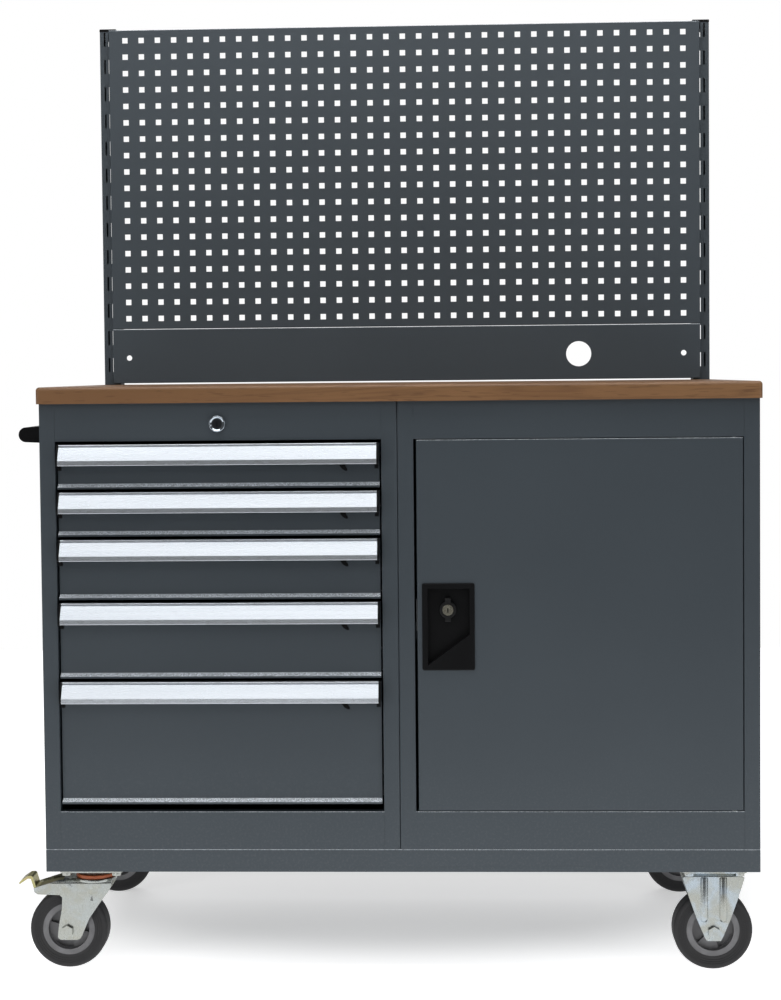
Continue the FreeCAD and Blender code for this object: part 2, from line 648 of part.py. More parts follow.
def drawer(index):
    """Folded front, open box, two welded runners and the small striker for the locking bar."""
    top, bottom = drawer_levels(index)
    x0, x1 = FRONT_X0 + DRAWER_SIDE_GAP, FRONT_X1 - DRAWER_SIDE_GAP
    y_face, t = FRONT_SETBACK, DRAWER_SHEET
    front_top = top - HANDLE_DROP - 0.5
    section = [
        (y_face, front_top), (y_face, bottom + LIP_TOP), (0.8, bottom + LIP_LOW + 1), (0, bottom + LIP_LOW),
        (0, bottom + 0.6), (0.6, bottom), (RETURN_D, bottom), (RETURN_D, bottom + t), (t, bottom + t),
        (t, bottom + LIP_LOW), (y_face + t, bottom + LIP_TOP + 0.6), (y_face + t, front_top - t),
        (RETURN_D - 2, front_top - t), (RETURN_D - 2, front_top),
    ]
    front = prism_x(section, x0, x1)
    wings = []
    for a, b in ((x0, x0 + t), (x1 - t, x1)):
        wings.append(box(a, b, y_face, RETURN_D - 2, bottom + LIP_TOP + 1, front_top))
    bx0, bx1 = FRONT_X0 + BOX_SIDE_GAP, FRONT_X1 - BOX_SIDE_GAP
    by0, by1 = y_face, y_face + BOX_DEPTH
    bz0, bz1 = bottom + BOX_LOW, top - BOX_BELOW_TOP
    tub = box(bx0, bx1, by0, by1, bz0, bz1)
    hollow = box(bx0 + t, bx1 - t, by0 + t, by1 - t, bz0 + t, bz1 + 1)
    rims = [
        box(bx0, bx0 + RIM_W, by0 + t, by1, bz1 - t, bz1),
        box(bx1 - RIM_W, bx1, by0 + t, by1, bz1 - t, bz1),
        box(bx0, bx1, by1 - RIM_W, by1, bz1 - t, bz1),
    ]
    rail_z = bz0 + RAIL_Z
    runners = []
    for edge, out in ((bx0, -1), (bx1, 1)):
        tip = edge + out * RUNNER_W
        a, b = min(edge, tip), max(edge, tip)
        y_end = RAIL_START + RAIL_L - 20
        runners.append(box(a, b, RAIL_START, y_end, rail_z + RUNNER_HALF - RAIL_WALL, rail_z + RUNNER_HALF))
        runners.append(box(a, b, RAIL_START, y_end, rail_z - RUNNER_HALF, rail_z - RUNNER_HALF + RAIL_WALL))
    sx0, sx1, sz0, sz1 = striker_box(index)
    striker = box(sx0, sx1, STRIKER_Y, STRIKER_Y + 3, sz0, sz1)
    body = joined(front, tub.cut(hollow), striker, *wings, *rims, *runners)
    arm_slot = box(bx1 - t - 1, bx1 + 1, CATCH_Y - 1, CATCH_Y + 4, latch_z(index) - 3.5, latch_z(index) + 3.5)
    wing_slot = box(x1 - t - 1, x1 + 1, CATCH_Y - 1, CATCH_Y + 4, latch_z(index) - 3.5, latch_z(index) + 3.5)
    return body.cut([catch_slot(index, y_face - 1, y_face + t + 1, 0.5), arm_slot, wing_slot])


def striker_box(index):
    """Striker on the drawer's left side, above the rail: x0, x1, z0, z1."""
    edge = FRONT_X0 + BOX_SIDE_GAP
    z = drawer_levels(index)[1] + BOX_LOW + RAIL_Z + RAIL_HALF
    return edge - STRIKER_IN, edge, z + 1.0, z + 5.0


def handle_section(top):
    """Grip strip section, as (y, z): groove for a label, leaning face, and a lip curled under."""
    reach = -HANDLE_REACH
    z = top - HANDLE_DROP
    low = z - HANDLE_H
    back = FRONT_SETBACK
    w = HANDLE_WALL
    return [
        (back, z), (-7.6, z), (-8.2, z - 0.6), (-8.2, z - 2.4), (-6.4, z - 2.4), (-6.4, z - 4.0), (-8.9, z - 4.0),
        (reach + 0.6, z - 23.2), (reach, z - 24.6), (reach + 0.3, low + 0.4), (reach + 0.7, low),
        (reach + w, low), (reach + 0.3 + w, low + 0.4), (reach + w, z - 24.7), (reach + 0.4 + w, z - 23.9),
        (-7.4, z - 5.8), (-4.6, z - 5.8), (-4.6, z - w), (back - w, z - w), (back - w, low + 5.4), (back, low + 5.4),
    ]


def drawer_handle(index):
    top = drawer_levels(index)[0]
    strip = prism_x(handle_section(top), DRAWER_MID - HANDLE_L / 2, DRAWER_MID + HANDLE_L / 2)
    return strip.cut(catch_slot(index, FRONT_SETBACK - HANDLE_WALL - 1, FRONT_SETBACK + 1, 0.5))


def handle_cap(index, side):
    """End cap of a grip strip: a thin plate with the strip's outline, a little larger."""
    top = drawer_levels(index)[0]
    z = top - HANDLE_DROP
    low = z - HANDLE_H
    reach = -HANDLE_REACH
    outline = [
        (FRONT_SETBACK, z + 0.5), (-7.8, z + 0.5), (-9.6, z - 1.0), (reach + 0.2, z - 22.8), (reach, z - 24.6),
        (reach + 0.4, low + 2.0), (reach + 2.0, low - 0.8), (FRONT_SETBACK, low - 0.8),
    ]
    inner = DRAWER_MID + side * HANDLE_L / 2
    outer = inner + side * CAP_END_T
    plate = prism_x(outline, min(inner, outer), max(inner, outer))
    foot_in = inner - side * 3.5
    foot = box(min(foot_in, outer), max(foot_in, outer), -6.0, -1.0, low - 8.0, low - 0.3)
    return joined(plate, foot)


def drawer_latch(index):
    """Sliding finger catch: claw under the grip, neck through the front, and an arm to the frame side."""
    x, z = latch_x(), latch_z(index)
    low = drawer_levels(index)[0] - HANDLE_DROP - HANDLE_H
    claw = prism_y([
        (x - 6, z + 4), (x - 6, low + 1), (x - 4.5, low - 3.5), (x - 1, low - 8), (x + 4, low - LATCH_DROP),
        (x + 7.5, low - LATCH_DROP), (x + 7.5, low - 8.5), (x + 4.5, low - 4), (x + 5, z + 4)], -9.0, -3.0)
    neck = box(x - 3, x + 3, -3.5, CATCH_Y + 3, z - 2.5, z + 2.5)
    arm = box(x - 3, FRONT_X1 - DRAWER_SIDE_GAP - 0.5, CATCH_Y, CATCH_Y + 3, z - 2.5, z + 2.5)
    return joined(claw, neck, arm)


def slide_rails():
    """Cabinet-side rails: channels that face the drawers, held off the sides by spacers."""
    rails = []
    for index in range(len(DRAWER_HEIGHTS)):
        centre = drawer_levels(index)[1] + BOX_LOW + RAIL_Z
        for edge, wall, out in ((FRONT_X0 + BOX_SIDE_GAP, -HALF + SHEET, -1),
                                (FRONT_X1 - BOX_SIDE_GAP, -SEAM_GAP / 2 - SHEET, 1)):
            web = edge + out * (RUNNER_W + RUNNER_GAP)
            back = web + out * RAIL_WALL
            tip = back - out * RAIL_LIP
            y0, y1 = RAIL_START, RAIL_START + RAIL_L
            z0, z1 = centre - RAIL_HALF, centre + RAIL_HALF
            pieces = [box(min(web, back), max(web, back), y0, y1, z0, z1)]
            for a, b in ((z0, z0 + RAIL_WALL), (z1 - RAIL_WALL, z1)):
                pieces.append(box(min(back, tip), max(back, tip), y0, y1, a, b))
            for y in (y0 + 22, y1 - 52):
                pieces.append(box(min(back, wall), max(back, wall), y, y + 30, z0 + 6, z1 - 6))
            rails.append(joined(pieces[0], *pieces[1:]))
    return rails


# ---------------------------------------------------------------- drawer lock
def lock_centre():
    return DRAWER_MID, CAB_TOP - LOCK_Z_BELOW_TOP


def drawer_lock_housing():
    x, z = lock_centre()
    front = -ROSETTE_PROUD
    face = rod(ROSETTE_R, (x, front, z), (x, 0, z))
    face = face.makeFillet(1.6, [e for e in face.Edges if e.BoundBox.YMax < front + 0.1])
    dish = Part.makeCone(ROSETTE_R - 1.9, LOCK_PLUG_R, 1.6, V(x, front, z), V(0, 1, 0))
    body = rod(LOCK_PLUG_R + 2, (x, -2, z), (x, 20, z))
    nut = hexagon(27, (x, SHEET, z), (x, SHEET + 4, z))
    bore = rod(LOCK_PLUG_R + LOCK_FIT, (x, -5, z), (x, 21, z))
    return joined(face, body, nut).cut([bore, dish])


def face_ring(x, y, z, radius):
    """A fine turned groove in the face of a lock cylinder."""
    outer = rod(radius, (x, y - 1, z), (x, y + 0.5, z))
    return outer.cut(rod(radius - 0.8, (x, y - 2, z), (x, y + 1, z)))


def drawer_lock_cylinder():
    x, z = lock_centre()
    plug_front = -ROSETTE_PROUD + 1.6
    plug = rod(LOCK_PLUG_R, (x, plug_front, z), (x, 22, z))
    cam = rod(LOCK_PLUG_R + 2.5, (x, 22, z), (x, 25, z))
    pin = rod(CAM_PIN_R, (x + BAR_TRAVEL, 24, z), (x + BAR_TRAVEL, 31, z))
    key_slot = box(x - 0.9, x + 0.9, -4, 6, z - 4.5, z + 3)
    key_round = rod(1.9, (x, -4, z + 2.2), (x, 6, z + 2.2))
    ring = face_ring(x, plug_front, z, LOCK_PLUG_R - 1.5)
    return joined(plug, cam, pin).cut([key_slot, key_round, ring])


def drawer_lock_bar():
    """Arm behind the top rail, upright strip beside the drawers, and one lug for each drawer."""
    x, z = lock_centre()
    y0, y1 = LUG_Y, LUG_Y + BAR_T
    strip_x = -HALF + SHEET + 6
    low = striker_box(len(DRAWER_HEIGHTS) - 1)[2]
    arm = box(strip_x, x + BAR_TRAVEL + 12, y0, y1, z - 9, z + 9)
    strip = box(strip_x, strip_x + BAR_T, y0, y0 + 12, low, z + 9)
    lugs = []
    for index in range(len(DRAWER_HEIGHTS)):
        sx0, sx1, sz0, sz1 = striker_box(index)
        lugs.append(box(strip_x, sx0 + 6, y0, y1, sz0 + BAR_TRAVEL, sz1 + BAR_TRAVEL))
    half = CAM_PIN_R + 2.0
    window = box(x - half, x + BAR_TRAVEL + half, y0 - 1, y1 + 1, z - half, z + half)
    return joined(arm, strip, *lugs).cut(window)


# ---------------------------------------------------------------- door
def plate_corner():
    """Lower left corner of the door lock plate."""
    return DOOR_X0 + PLATE_IN, DOOR_Z1 - PLATE_TOP_DROP - PLATE_H


def knob_centre():
    x0, z0 = plate_corner()
    return x0 + KNOB_X, z0 + PLATE_H - KNOB_DROP


def door_bolt_span():
    z = knob_centre()[1]
    return z - 34, z + 16


def door():
    """Pan-shaped door leaf: face, edges turned back, and lips turned in behind."""
    leaf = box(DOOR_X0, DOOR_X1, 0, DOOR_T, DOOR_Z0, DOOR_Z1)
    leaf = rounded(leaf, EDGE_R, lambda m, d: m.y < 0.01 and abs(d.z) > 0.9)
    leaf = rounded(leaf, SHEET, lambda m, d: m.y < 0.01 and abs(d.x) > 0.9)
    hollow = box(DOOR_X0 + SHEET, DOOR_X1 - SHEET, SHEET, DOOR_T - SHEET, DOOR_Z0 + SHEET, DOOR_Z1 - SHEET)
    back = box(DOOR_X0 + DOOR_LIP, DOOR_X1 - DOOR_LIP, DOOR_T - 2 * SHEET, DOOR_T + 1,
               DOOR_Z0 + DOOR_LIP, DOOR_Z1 - DOOR_LIP)
    px, pz = plate_corner()
    plate_hole = box(px + 4, px + PLATE_W - 4, -1, SHEET + 1, pz + 4, pz + PLATE_H - 4)
    bz0, bz1 = door_bolt_span()
    bolt_slot = box(DOOR_X0 - 1, DOOR_X0 + SHEET + 1, BOLT_Y - 1, BOLT_Y + BOLT_T + 1, bz0 - 1, bz1 + 1)
    hinge_r = HINGE_PIN_R + HINGE_FIT
    hinge_holes = [
        rod(hinge_r, (HINGE_X, HINGE_BACK, DOOR_Z0 - 1), (HINGE_X, HINGE_BACK, DOOR_Z0 + PIN_LONG + 1)),
        rod(hinge_r, (HINGE_X, HINGE_BACK, DOOR_Z1 - PIN_LONG - 1), (HINGE_X, HINGE_BACK, DOOR_Z1 + 1)),
    ]
    half = HINGE_PIN_R + 2.5
    blocks = []
    for z0, z1 in ((DOOR_Z0 + SHEET, DOOR_Z0 + PIN_LONG), (DOOR_Z1 - PIN_LONG, DOOR_Z1 - SHEET)):
        blocks.append(box(HINGE_X - half, HINGE_X + half, SHEET, HINGE_BACK + half, z0, z1))
    shell = joined(leaf.cut([hollow, back]), *blocks)
    return shell.cut([plate_hole, bolt_slot] + hinge_holes)


def door_hinge_pins():
    low = rod(HINGE_PIN_R, (HINGE_X, HINGE_BACK, OPEN_Z0 - 5), (HINGE_X, HINGE_BACK, DOOR_Z0 + PIN_LONG - 1))
    high = rod(HINGE_PIN_R, (HINGE_X, HINGE_BACK, DOOR_Z1 - PIN_LONG + 1), (HINGE_X, HINGE_BACK, OPEN_Z1 + 5))
    low_washer = rod(HINGE_PIN_R + 2, (HINGE_X, HINGE_BACK, OPEN_Z0), (HINGE_X, HINGE_BACK, DOOR_Z0 - 0.3))
    return [joined(low, low_washer), high]


def door_lock_housing():
    """Black plate with a deep pull recess whose lower edge slants."""
    px, pz = plate_corner()
    x1, z1 = px + PLATE_W, pz + PLATE_H
    plate = box(px, x1, -PLATE_T, 0, pz, z1)
    plate = rounded(plate, PLATE_R, lambda m, d: abs(d.y) > 0.9)
    plate = plate.makeFillet(1.8, [e for e in plate.Edges if e.BoundBox.YMax < -PLATE_T + 0.01])
    body = box(px + 5, x1 - 5, -1, RECESS_FLOOR + 1.5, pz + 5, z1 - 5)
    recess = prism_y([(px + 8.7, pz + 8.3), (px + 8.7, z1 - 8.2), (x1 - 7.6, z1 - 8.2), (x1 - 7.6, pz + 56.4)],
                     -PLATE_T - 1, RECESS_FLOOR)
    kx, kz = knob_centre()
    bore = rod(SPINDLE_R + LOCK_FIT, (kx, 0, kz), (kx, 15, kz))
    return joined(plate, body).cut([recess, bore])


def door_lock_knob():
    """Turn knob with its key cylinder, spindle, and the cam that drives the bolt."""
    kx, kz = knob_centre()
    disc = rod(KNOB_R, (kx, -0.5, kz), (kx, RECESS_FLOOR - 0.4, kz))
    disc = disc.makeFillet(1.5, [e for e in disc.Edges if e.BoundBox.YMax < -0.4])
    wing = box(kx - 4.5, kx + 4.5, -1.5, RECESS_FLOOR - 0.4, kz - 18.5, kz + 18.5)
    wing = rounded(wing, 2.0, lambda m, d: m.y < -1.4 and abs(d.x) > 0.9)
    core = rod(8.4, (kx, -KNOB_PROUD, kz), (kx, 1, kz))
    spindle = rod(SPINDLE_R, (kx, 2, kz), (kx, 18.2, kz))
    cam = box(kx - 5, kx + 5, BOLT_Y + BOLT_T + 0.4, 18.2, kz - 5, kz + BOLT_TRAVEL + 3)
    pin = rod(CAM_PIN_R, (kx, BOLT_Y - 0.3, kz + BOLT_TRAVEL), (kx, BOLT_Y + BOLT_T + 1, kz + BOLT_TRAVEL))
    key_slot = box(kx - 0.9, kx + 0.9, -3, 5, kz - 4.0, kz + 3.2)
    ring = face_ring(kx, -KNOB_PROUD, kz, 6.8)
    return joined(disc, wing, core, spindle, cam, pin).cut([key_slot, ring])


def door_lock_bolt():
    """Sliding bolt plate: tall tongue at the door's edge and a window round the spindle and the cam pin."""
    kx, kz = knob_centre()
    z0, z1 = door_bolt_span()
    y0, y1 = BOLT_Y, BOLT_Y + BOLT_T
    tongue = box(DOOR_X0 - 1.7, DOOR_X0 + 30, y0, y1, z0, z1)
    arm = box(DOOR_X0 + 20, kx + 19, y0, y1, kz - 12, z1)
    spare = 2.1
    pin_window = box(kx - CAM_PIN_R - spare, kx + CAM_PIN_R + spare, y0 - 1, y1 + 1,
                     kz - SPINDLE_R - 1, kz + BOLT_TRAVEL + CAM_PIN_R + 1)
    spindle_window = box(kx - SPINDLE_R - 1, kx + SPINDLE_R + BOLT_TRAVEL + 1, y0 - 1, y1 + 1,
                         kz - SPINDLE_R - 1, kz + SPINDLE_R + 1)
    return joined(tongue, arm).cut([pin_window, spindle_window])


# ---------------------------------------------------------------- casters
def tyre(cx, cy):
    """Solid rubber tyre with rounded shoulders and fine rings in its side walls."""
    r, w, shoulder = WHEEL_R, WHEEL_HALF, 5.0
    z = WHEEL_R
    s = shoulder * (1 - math.sqrt(0.5))
    points = [V(cx, cy - w, z + HUB_R), V(cx, cy - w, z + r - shoulder), V(cx, cy - w + s, z + r - s),
              V(cx, cy - w + shoulder, z + r), V(cx, cy + w - shoulder, z + r), V(cx, cy + w - s, z + r - s),
              V(cx, cy + w, z + r - shoulder), V(cx, cy + w, z + HUB_R)]
    edges = [
        Part.makeLine(points[0], points[1]),
        Part.Arc(points[1], points[2], points[3]).toShape(),
        Part.makeLine(points[3], points[4]),
        Part.Arc(points[4], points[5], points[6]).toShape(),
        Part.makeLine(points[6], points[7]),
        Part.makeLine(points[7], points[0]),
    ]
    ring = Part.Face(Part.Wire(edges)).revolve(V(cx, cy, z), V(0, 1, 0), 360)
    grooves = []
    for radius in TYRE_RINGS:
        for side in (-1, 1):
            face = cy + side * w
            inner = face - side * 0.6
            outer = face + side * 1.0
            wide = rod(radius + 0.8, (cx, inner, z), (cx, outer, z))
            grooves.append(wide.cut(rod(radius - 0.2, (cx, inner - side, z), (cx, outer + side, z))))
    return ring.cut(grooves)


def hub(cx, cy, turn):
    """Plastic rim, dished web with three deep pockets in each side, and a long boss on the axle."""
    z = WHEEL_R
    rim = rod(HUB_R, (cx, cy - 17, z), (cx, cy + 17, z))
    dish_front = rod(DISH_R, (cx, cy - 18, z), (cx, cy - 7, z))
    dish_back = rod(DISH_R, (cx, cy + 7, z), (cx, cy + 18, z))
    boss = rod(14, (cx, cy - FORK_IN + 0.5, z), (cx, cy + FORK_IN - 0.5, z))
    pockets = []
    half = POCKET_ANGLE / 2
    corners = [(POCKET_IN, half), (POCKET_IN, 0), (POCKET_IN, -half)]
    corners += [(POCKET_OUT, half * step / 2) for step in range(-2, 3)]
    for k in range(3):
        outline = []
        for radius, spread in corners:
            angle = math.radians(120 * k + turn + spread)
            outline.append((cx + radius * math.cos(angle), z + radius * math.sin(angle)))
        for side in (-1, 1):
            near, far = cy + side * HUB_WEB / 2, cy + side * 8
            pockets.append(prism_y(outline, min(near, far), max(near, far)))
    wheel = joined(rim.cut([dish_front, dish_back]), boss).cut(pockets)
    return wheel.cut(rod(AXLE_R + AXLE_FIT, (cx, cy - 30, z), (cx, cy + 30, z)))


def axle(cx, cy):
    """M10 hexagon bolt through both fork cheeks, with its nut at the back."""
    z = WHEEL_R
    out = FORK_OUT
    head = hexagon(17, (cx, cy - out - 6.4, z), (cx, cy - out, z))
    nut = hexagon(17, (cx, cy + out, z), (cx, cy + out + 8, z))
    return joined(head, rod(AXLE_R, (cx, cy - out - 3, z), (cx, cy + out + 11, z)), nut)


def caster_plate(cx, cy):
    plate = box(cx - CASTER_PLATE_X / 2, cx + CASTER_PLATE_X / 2, cy - CASTER_PLATE_Y / 2, cy + CASTER_PLATE_Y / 2,
                CASTER_PLATE_Z, BASE_Z)
    plate = rounded(plate, 6.0, lambda m, d: abs(d.z) > 0.9)
    holes = []
    for sx in (-1, 1):
        for sy in (-1, 1):
            x, y = cx + sx * CASTER_BOLT_X, cy + sy * CASTER_BOLT_Y
            holes.append(rod(BOLT_HOLE_R, (x, y, CASTER_PLATE_Z - 1), (x, y, BASE_Z + 1)))
    return plate.cut(holes)


def swivel_plate(cx, cy):
    """Mounting plate with the upper bearing race and the king pin riveted through it."""
    race = Part.makeCone(27, 36, CROWN_DROP - RACE_GAP, V(cx, cy, CROWN_TOP + RACE_GAP), V(0, 0, 1))
    neck = rod(22, (cx, cy, CROWN_TOP + SEAL_GAP), (cx, cy, CASTER_PLATE_Z))
    pin = rod(KING_R, (cx, cy, CROWN_TOP - CROWN_T - 4.5), (cx, cy, CASTER_PLATE_Z))
    head = rod(KING_R + 4, (cx, cy, CROWN_TOP - CROWN_T - 4.5), (cx, cy, CROWN_TOP - CROWN_T - SEAL_GAP))
    return joined(caster_plate(cx, cy), race, neck, pin, head)


def swivel_seal(cx, cy):
    """Plastic dust ring round the swivel bearing."""
    low, high = CROWN_TOP + SEAL_GAP, CROWN_TOP + RACE_GAP
    ring = rod(SEAL_R, (cx, cy, low), (cx, cy, high))
    ring = ring.makeFillet(1.2, [e for e in ring.Edges if e.Closed and e.BoundBox.ZLength < 0.01])
    return ring.cut(rod(22, (cx, cy, low - 1), (cx, cy, high + 1)))


def arch(x0, x1, cy, top, sheet, bend):
    """A strip bent into an upside-down U over the wheel, from x0 to x1, with rounded shoulders."""
    outer = box(x0, x1, cy - FORK_OUT, cy + FORK_OUT, 40, top)
    outer = rounded(outer, bend, lambda m, d: abs(d.x) > 0.9 and m.z > top - 0.01)
    inner = box(x0 - 1, x1 + 1, cy - FORK_IN, cy + FORK_IN, 39, top - sheet)
    inner = rounded(inner, bend - FORK_T, lambda m, d: abs(d.x) > 0.9 and m.z > top - sheet - 0.01)
    return outer.cut(inner)


def swivel_fork(cx, cy):
    """Pressed fork: crown on the bearing, two cheeks that trail to the axle and carry the brake's side arms."""
    axle_x = -TRAIL
    cheek = [
        (30, CROWN_TOP), (28, 132), (23, 124), (11, 108), (-7, 82), (axle_x + 23, 54), (axle_x + 20, 49.5),
        (axle_x + 15, 47.5), (axle_x - 11, 47.5), (axle_x - 14.5, 49), (axle_x - 16, 53), (axle_x - 14, 70),
        (-51, 97), (-50, 116), (-54, 120), (-90, 121),
        (-95, 125), (-96, 131), (-60, 142.5), (-48, CROWN_TOP),
    ]
    near, far = cy - FORK_OUT - 1, cy + FORK_OUT + 1
    bow = arch(cx - 100, cx + 40, cy, CROWN_TOP, CROWN_T, SHOULDER)
    bow = bow.common(prism_y([(cx + x, z) for x, z in cheek], near, far))
    pedal_room = box(cx - 101, cx - CROWN_BACK, cy - FORK_IN, cy + FORK_IN, 100, CROWN_TOP + 1)
    race = rod(RACE_R, (cx, cy, CROWN_TOP - CROWN_T), (cx, cy, CROWN_TOP))
    px, pz = PEDAL_PIVOT
    pivot = rod(PEDAL_PIN_R, (cx + px, near - 0.5, pz), (cx + px, far + 0.5, pz))
    fork = joined(bow.cut(pedal_room), race, pivot)
    king_hole = rod(KING_R + KING_FIT, (cx, cy, CROWN_TOP - CROWN_T - 1), (cx, cy, CROWN_TOP + 1))
    axle_hole = rod(AXLE_R, (cx + axle_x, near, WHEEL_R), (cx + axle_x, far, WHEEL_R))
    creases = []
    for side in (-1, 1):
        y = cy + side * (FORK_OUT + CREASE_R - CREASE_DEPTH)
        creases.append(rod(CREASE_R, (cx + CREASE_X, y, 111), (cx + CREASE_X, y, 133)))
    return fork.cut([king_hole, axle_hole] + creases)


def brake_pedal(cx, cy):
    """Foot pedal between the cheeks: toe plate, lever, shoe above the tyre, and pivot boss."""
    px, pz = PEDAL_PIVOT
    tip = -PEDAL_REACH
    outline = [
        (px, pz + 5.5), (-47, pz + 5.5), (-56, 138.5), (-64, 137), (-91, 130.5), (-94.5, 131.5), (-99, 146.5),
        (-101.5, 148.4), (-108, 148), (tip + 4, 141.5), (tip, 137), (tip + 1.5, 135), (tip + 6.5, 138.5), (-107, 144),
        (-102.5, 143.5), (-97.5, 127.5), (-91, 126.8), (-78, 130), (-76.5, 127), (-68, 125.5), (-63, 131),
        (-50, 129), (px, pz - 5.5),
    ]
    lever = prism_y([(cx + x, z) for x, z in outline], cy - 17, cy + 17)
    boss = rod(PEDAL_BOSS_R, (cx + px, cy - 20, pz), (cx + px, cy + 20, pz))
    return joined(lever, boss).cut(rod(PEDAL_PIN_R + AXLE_FIT, (cx + px, cy - 25, pz), (cx + px, cy + 25, pz)))


def rounded_rib(x, face, side):
    """A pressed rib down a fork cheek: a shallow half-round that runs out at its lower end."""
    radius = (RIB_HALF ** 2 + RIB_H ** 2) / (2 * RIB_H)
    middle = face + side * (RIB_H - radius)
    low, high = RIB_Z
    bar = joined(rod(radius, (x, middle, low), (x, middle, high)), Part.makeSphere(radius, V(x, middle, low)))
    inner, outer = face - side * FORK_T / 2, face + side * (RIB_H + 1)
    return bar.common(box(x - radius, x + radius, min(inner, outer), max(inner, outer), low - radius, high))


def fixed_fork(cx, cy):
    """Fixed fork: plate and an arch with two tapering cheeks, each stiffened by two pressed ribs."""
    right = [(11, 48), (14, 53), (27, 84), (38, 115), (46, 140), (48.5, 149), (40, 153), (24, CASTER_PLATE_Z)]
    outline = [(cx + x, z) for x, z in right] + [(cx - x, z) for x, z in reversed(right)]
    bow = arch(cx - 50, cx + 50, cy, CASTER_PLATE_Z, FORK_T + 1, SHOULDER + 3)
    bow = bow.common(prism_y(outline, cy - FORK_OUT - 1, cy + FORK_OUT + 1))
    ribs = []
    for side in (-1, 1):
        for middle in (-RIB_X, RIB_X):
            ribs.append(rounded_rib(cx + middle, cy + side * FORK_OUT, side))
    fork = joined(caster_plate(cx, cy), bow, *ribs)
    reach = FORK_OUT + 6
    return fork.cut(rod(AXLE_R, (cx, cy - reach, WHEEL_R), (cx, cy + reach, WHEEL_R)))


# ---------------------------------------------------------------- the assembly
keep("base_frame", base_frame())
keep("drawer_cabinet_shell", drawer_cabinet())
keep("door_cabinet_shell", door_cabinet())
keep("worktop", worktop())
keep("left_upright", upright(-1))
keep("right_upright", upright(1))
keep("upright_caps", upright_cap(-1), upright_cap(1))
keep("perforated_panel", perforated_panel())
keep("lower_panel", lower_panel())
keep("shelf", shelf())
keep("slide_rails", *slide_rails())
keep("push_handle", push_handle())
keep("hex_bolts", *hex_bolts())
keep("pan_head_screws", *pan_head_screws())
keep("drawer_lock_housing", drawer_lock_housing())
keep("drawer_lock_cylinder", drawer_lock_cylinder())
keep("drawer_lock_bar", drawer_lock_bar())
keep("door_hinge_pins", *door_hinge_pins())
keep("door", door())
keep("door_lock_housing", door_lock_housing())
keep("door_lock_knob", door_lock_knob())
keep("door_lock_bolt", door_lock_bolt())

for number in range(len(DRAWER_HEIGHTS)):
    name = "drawer_%d" % (number + 1)
    keep(name, drawer(number))
    keep(name + "_handle", drawer_handle(number))
    keep(name + "_handle_caps", handle_cap(number, -1), handle_cap(number, 1))
    keep(name + "_latch", drawer_latch(number))

# the third number is how far each wheel has rolled, in degrees
wheel_places = {
    "front_left": (SWIVEL_X - TRAIL, FRONT_WHEEL_Y, 14),
    "rear_left": (SWIVEL_X - TRAIL, REAR_WHEEL_Y, 50),
    "front_right": (FIXED_X, FRONT_WHEEL_Y, 76),
    "rear_right": (FIXED_X, REAR_WHEEL_Y, 95),
}
for corner, (wheel_x, wheel_y, turn) in wheel_places.items():
    keep(corner + "_tyre", tyre(wheel_x, wheel_y))
    keep(corner + "_hub", hub(wheel_x, wheel_y, turn))
for corner, y in (("front_left", FRONT_WHEEL_Y), ("rear_left", REAR_WHEEL_Y)):
    keep(corner + "_fork", swivel_fork(SWIVEL_X, y))
    keep(corner + "_brake_pedal", brake_pedal(SWIVEL_X, y))
    keep(corner + "_axle", axle(SWIVEL_X - TRAIL, y))
keep("swivel_plates", swivel_plate(SWIVEL_X, FRONT_WHEEL_Y), swivel_plate(SWIVEL_X, REAR_WHEEL_Y))
keep("swivel_seals", swivel_seal(SWIVEL_X, FRONT_WHEEL_Y), swivel_seal(SWIVEL_X, REAR_WHEEL_Y))
keep("fixed_forks", fixed_fork(FIXED_X, FRONT_WHEEL_Y), fixed_fork(FIXED_X, REAR_WHEEL_Y))
keep("fixed_axles", axle(FIXED_X, FRONT_WHEEL_Y), axle(FIXED_X, REAR_WHEEL_Y))

os.makedirs("parts", exist_ok=True)
for name, shape in nodes.items():
    if not shape.Solids or not all(solid.isValid() and solid.Volume > 0 for solid in shape.Solids):
        raise RuntimeError(name + " is not made of valid solids")
    shape.exportStep("parts/" + name + ".step")
    print(name, len(shape.Solids), "solid(s)", round(sum(s.Volume for s in shape.Solids) / 1000.0, 1), "cm3")
print(len(nodes), "nodes")
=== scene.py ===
# %% [markdown]
# # A mobile workbench with drawers
# The bench is two sheet steel cabinets on a wheeled base frame, under a wooden board, with a perforated
# wall standing behind it. Its solids come packed from the CAD side, with every moving piece on its own body.
# This lesson gives those solids their finishes, breaks their sharp edges, and sets up the studio.
# Everything is in metres. X runs to the right, Y to the back and Z up from the floor.

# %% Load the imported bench
import bpy
import json
import math
from mathutils import Matrix, Vector


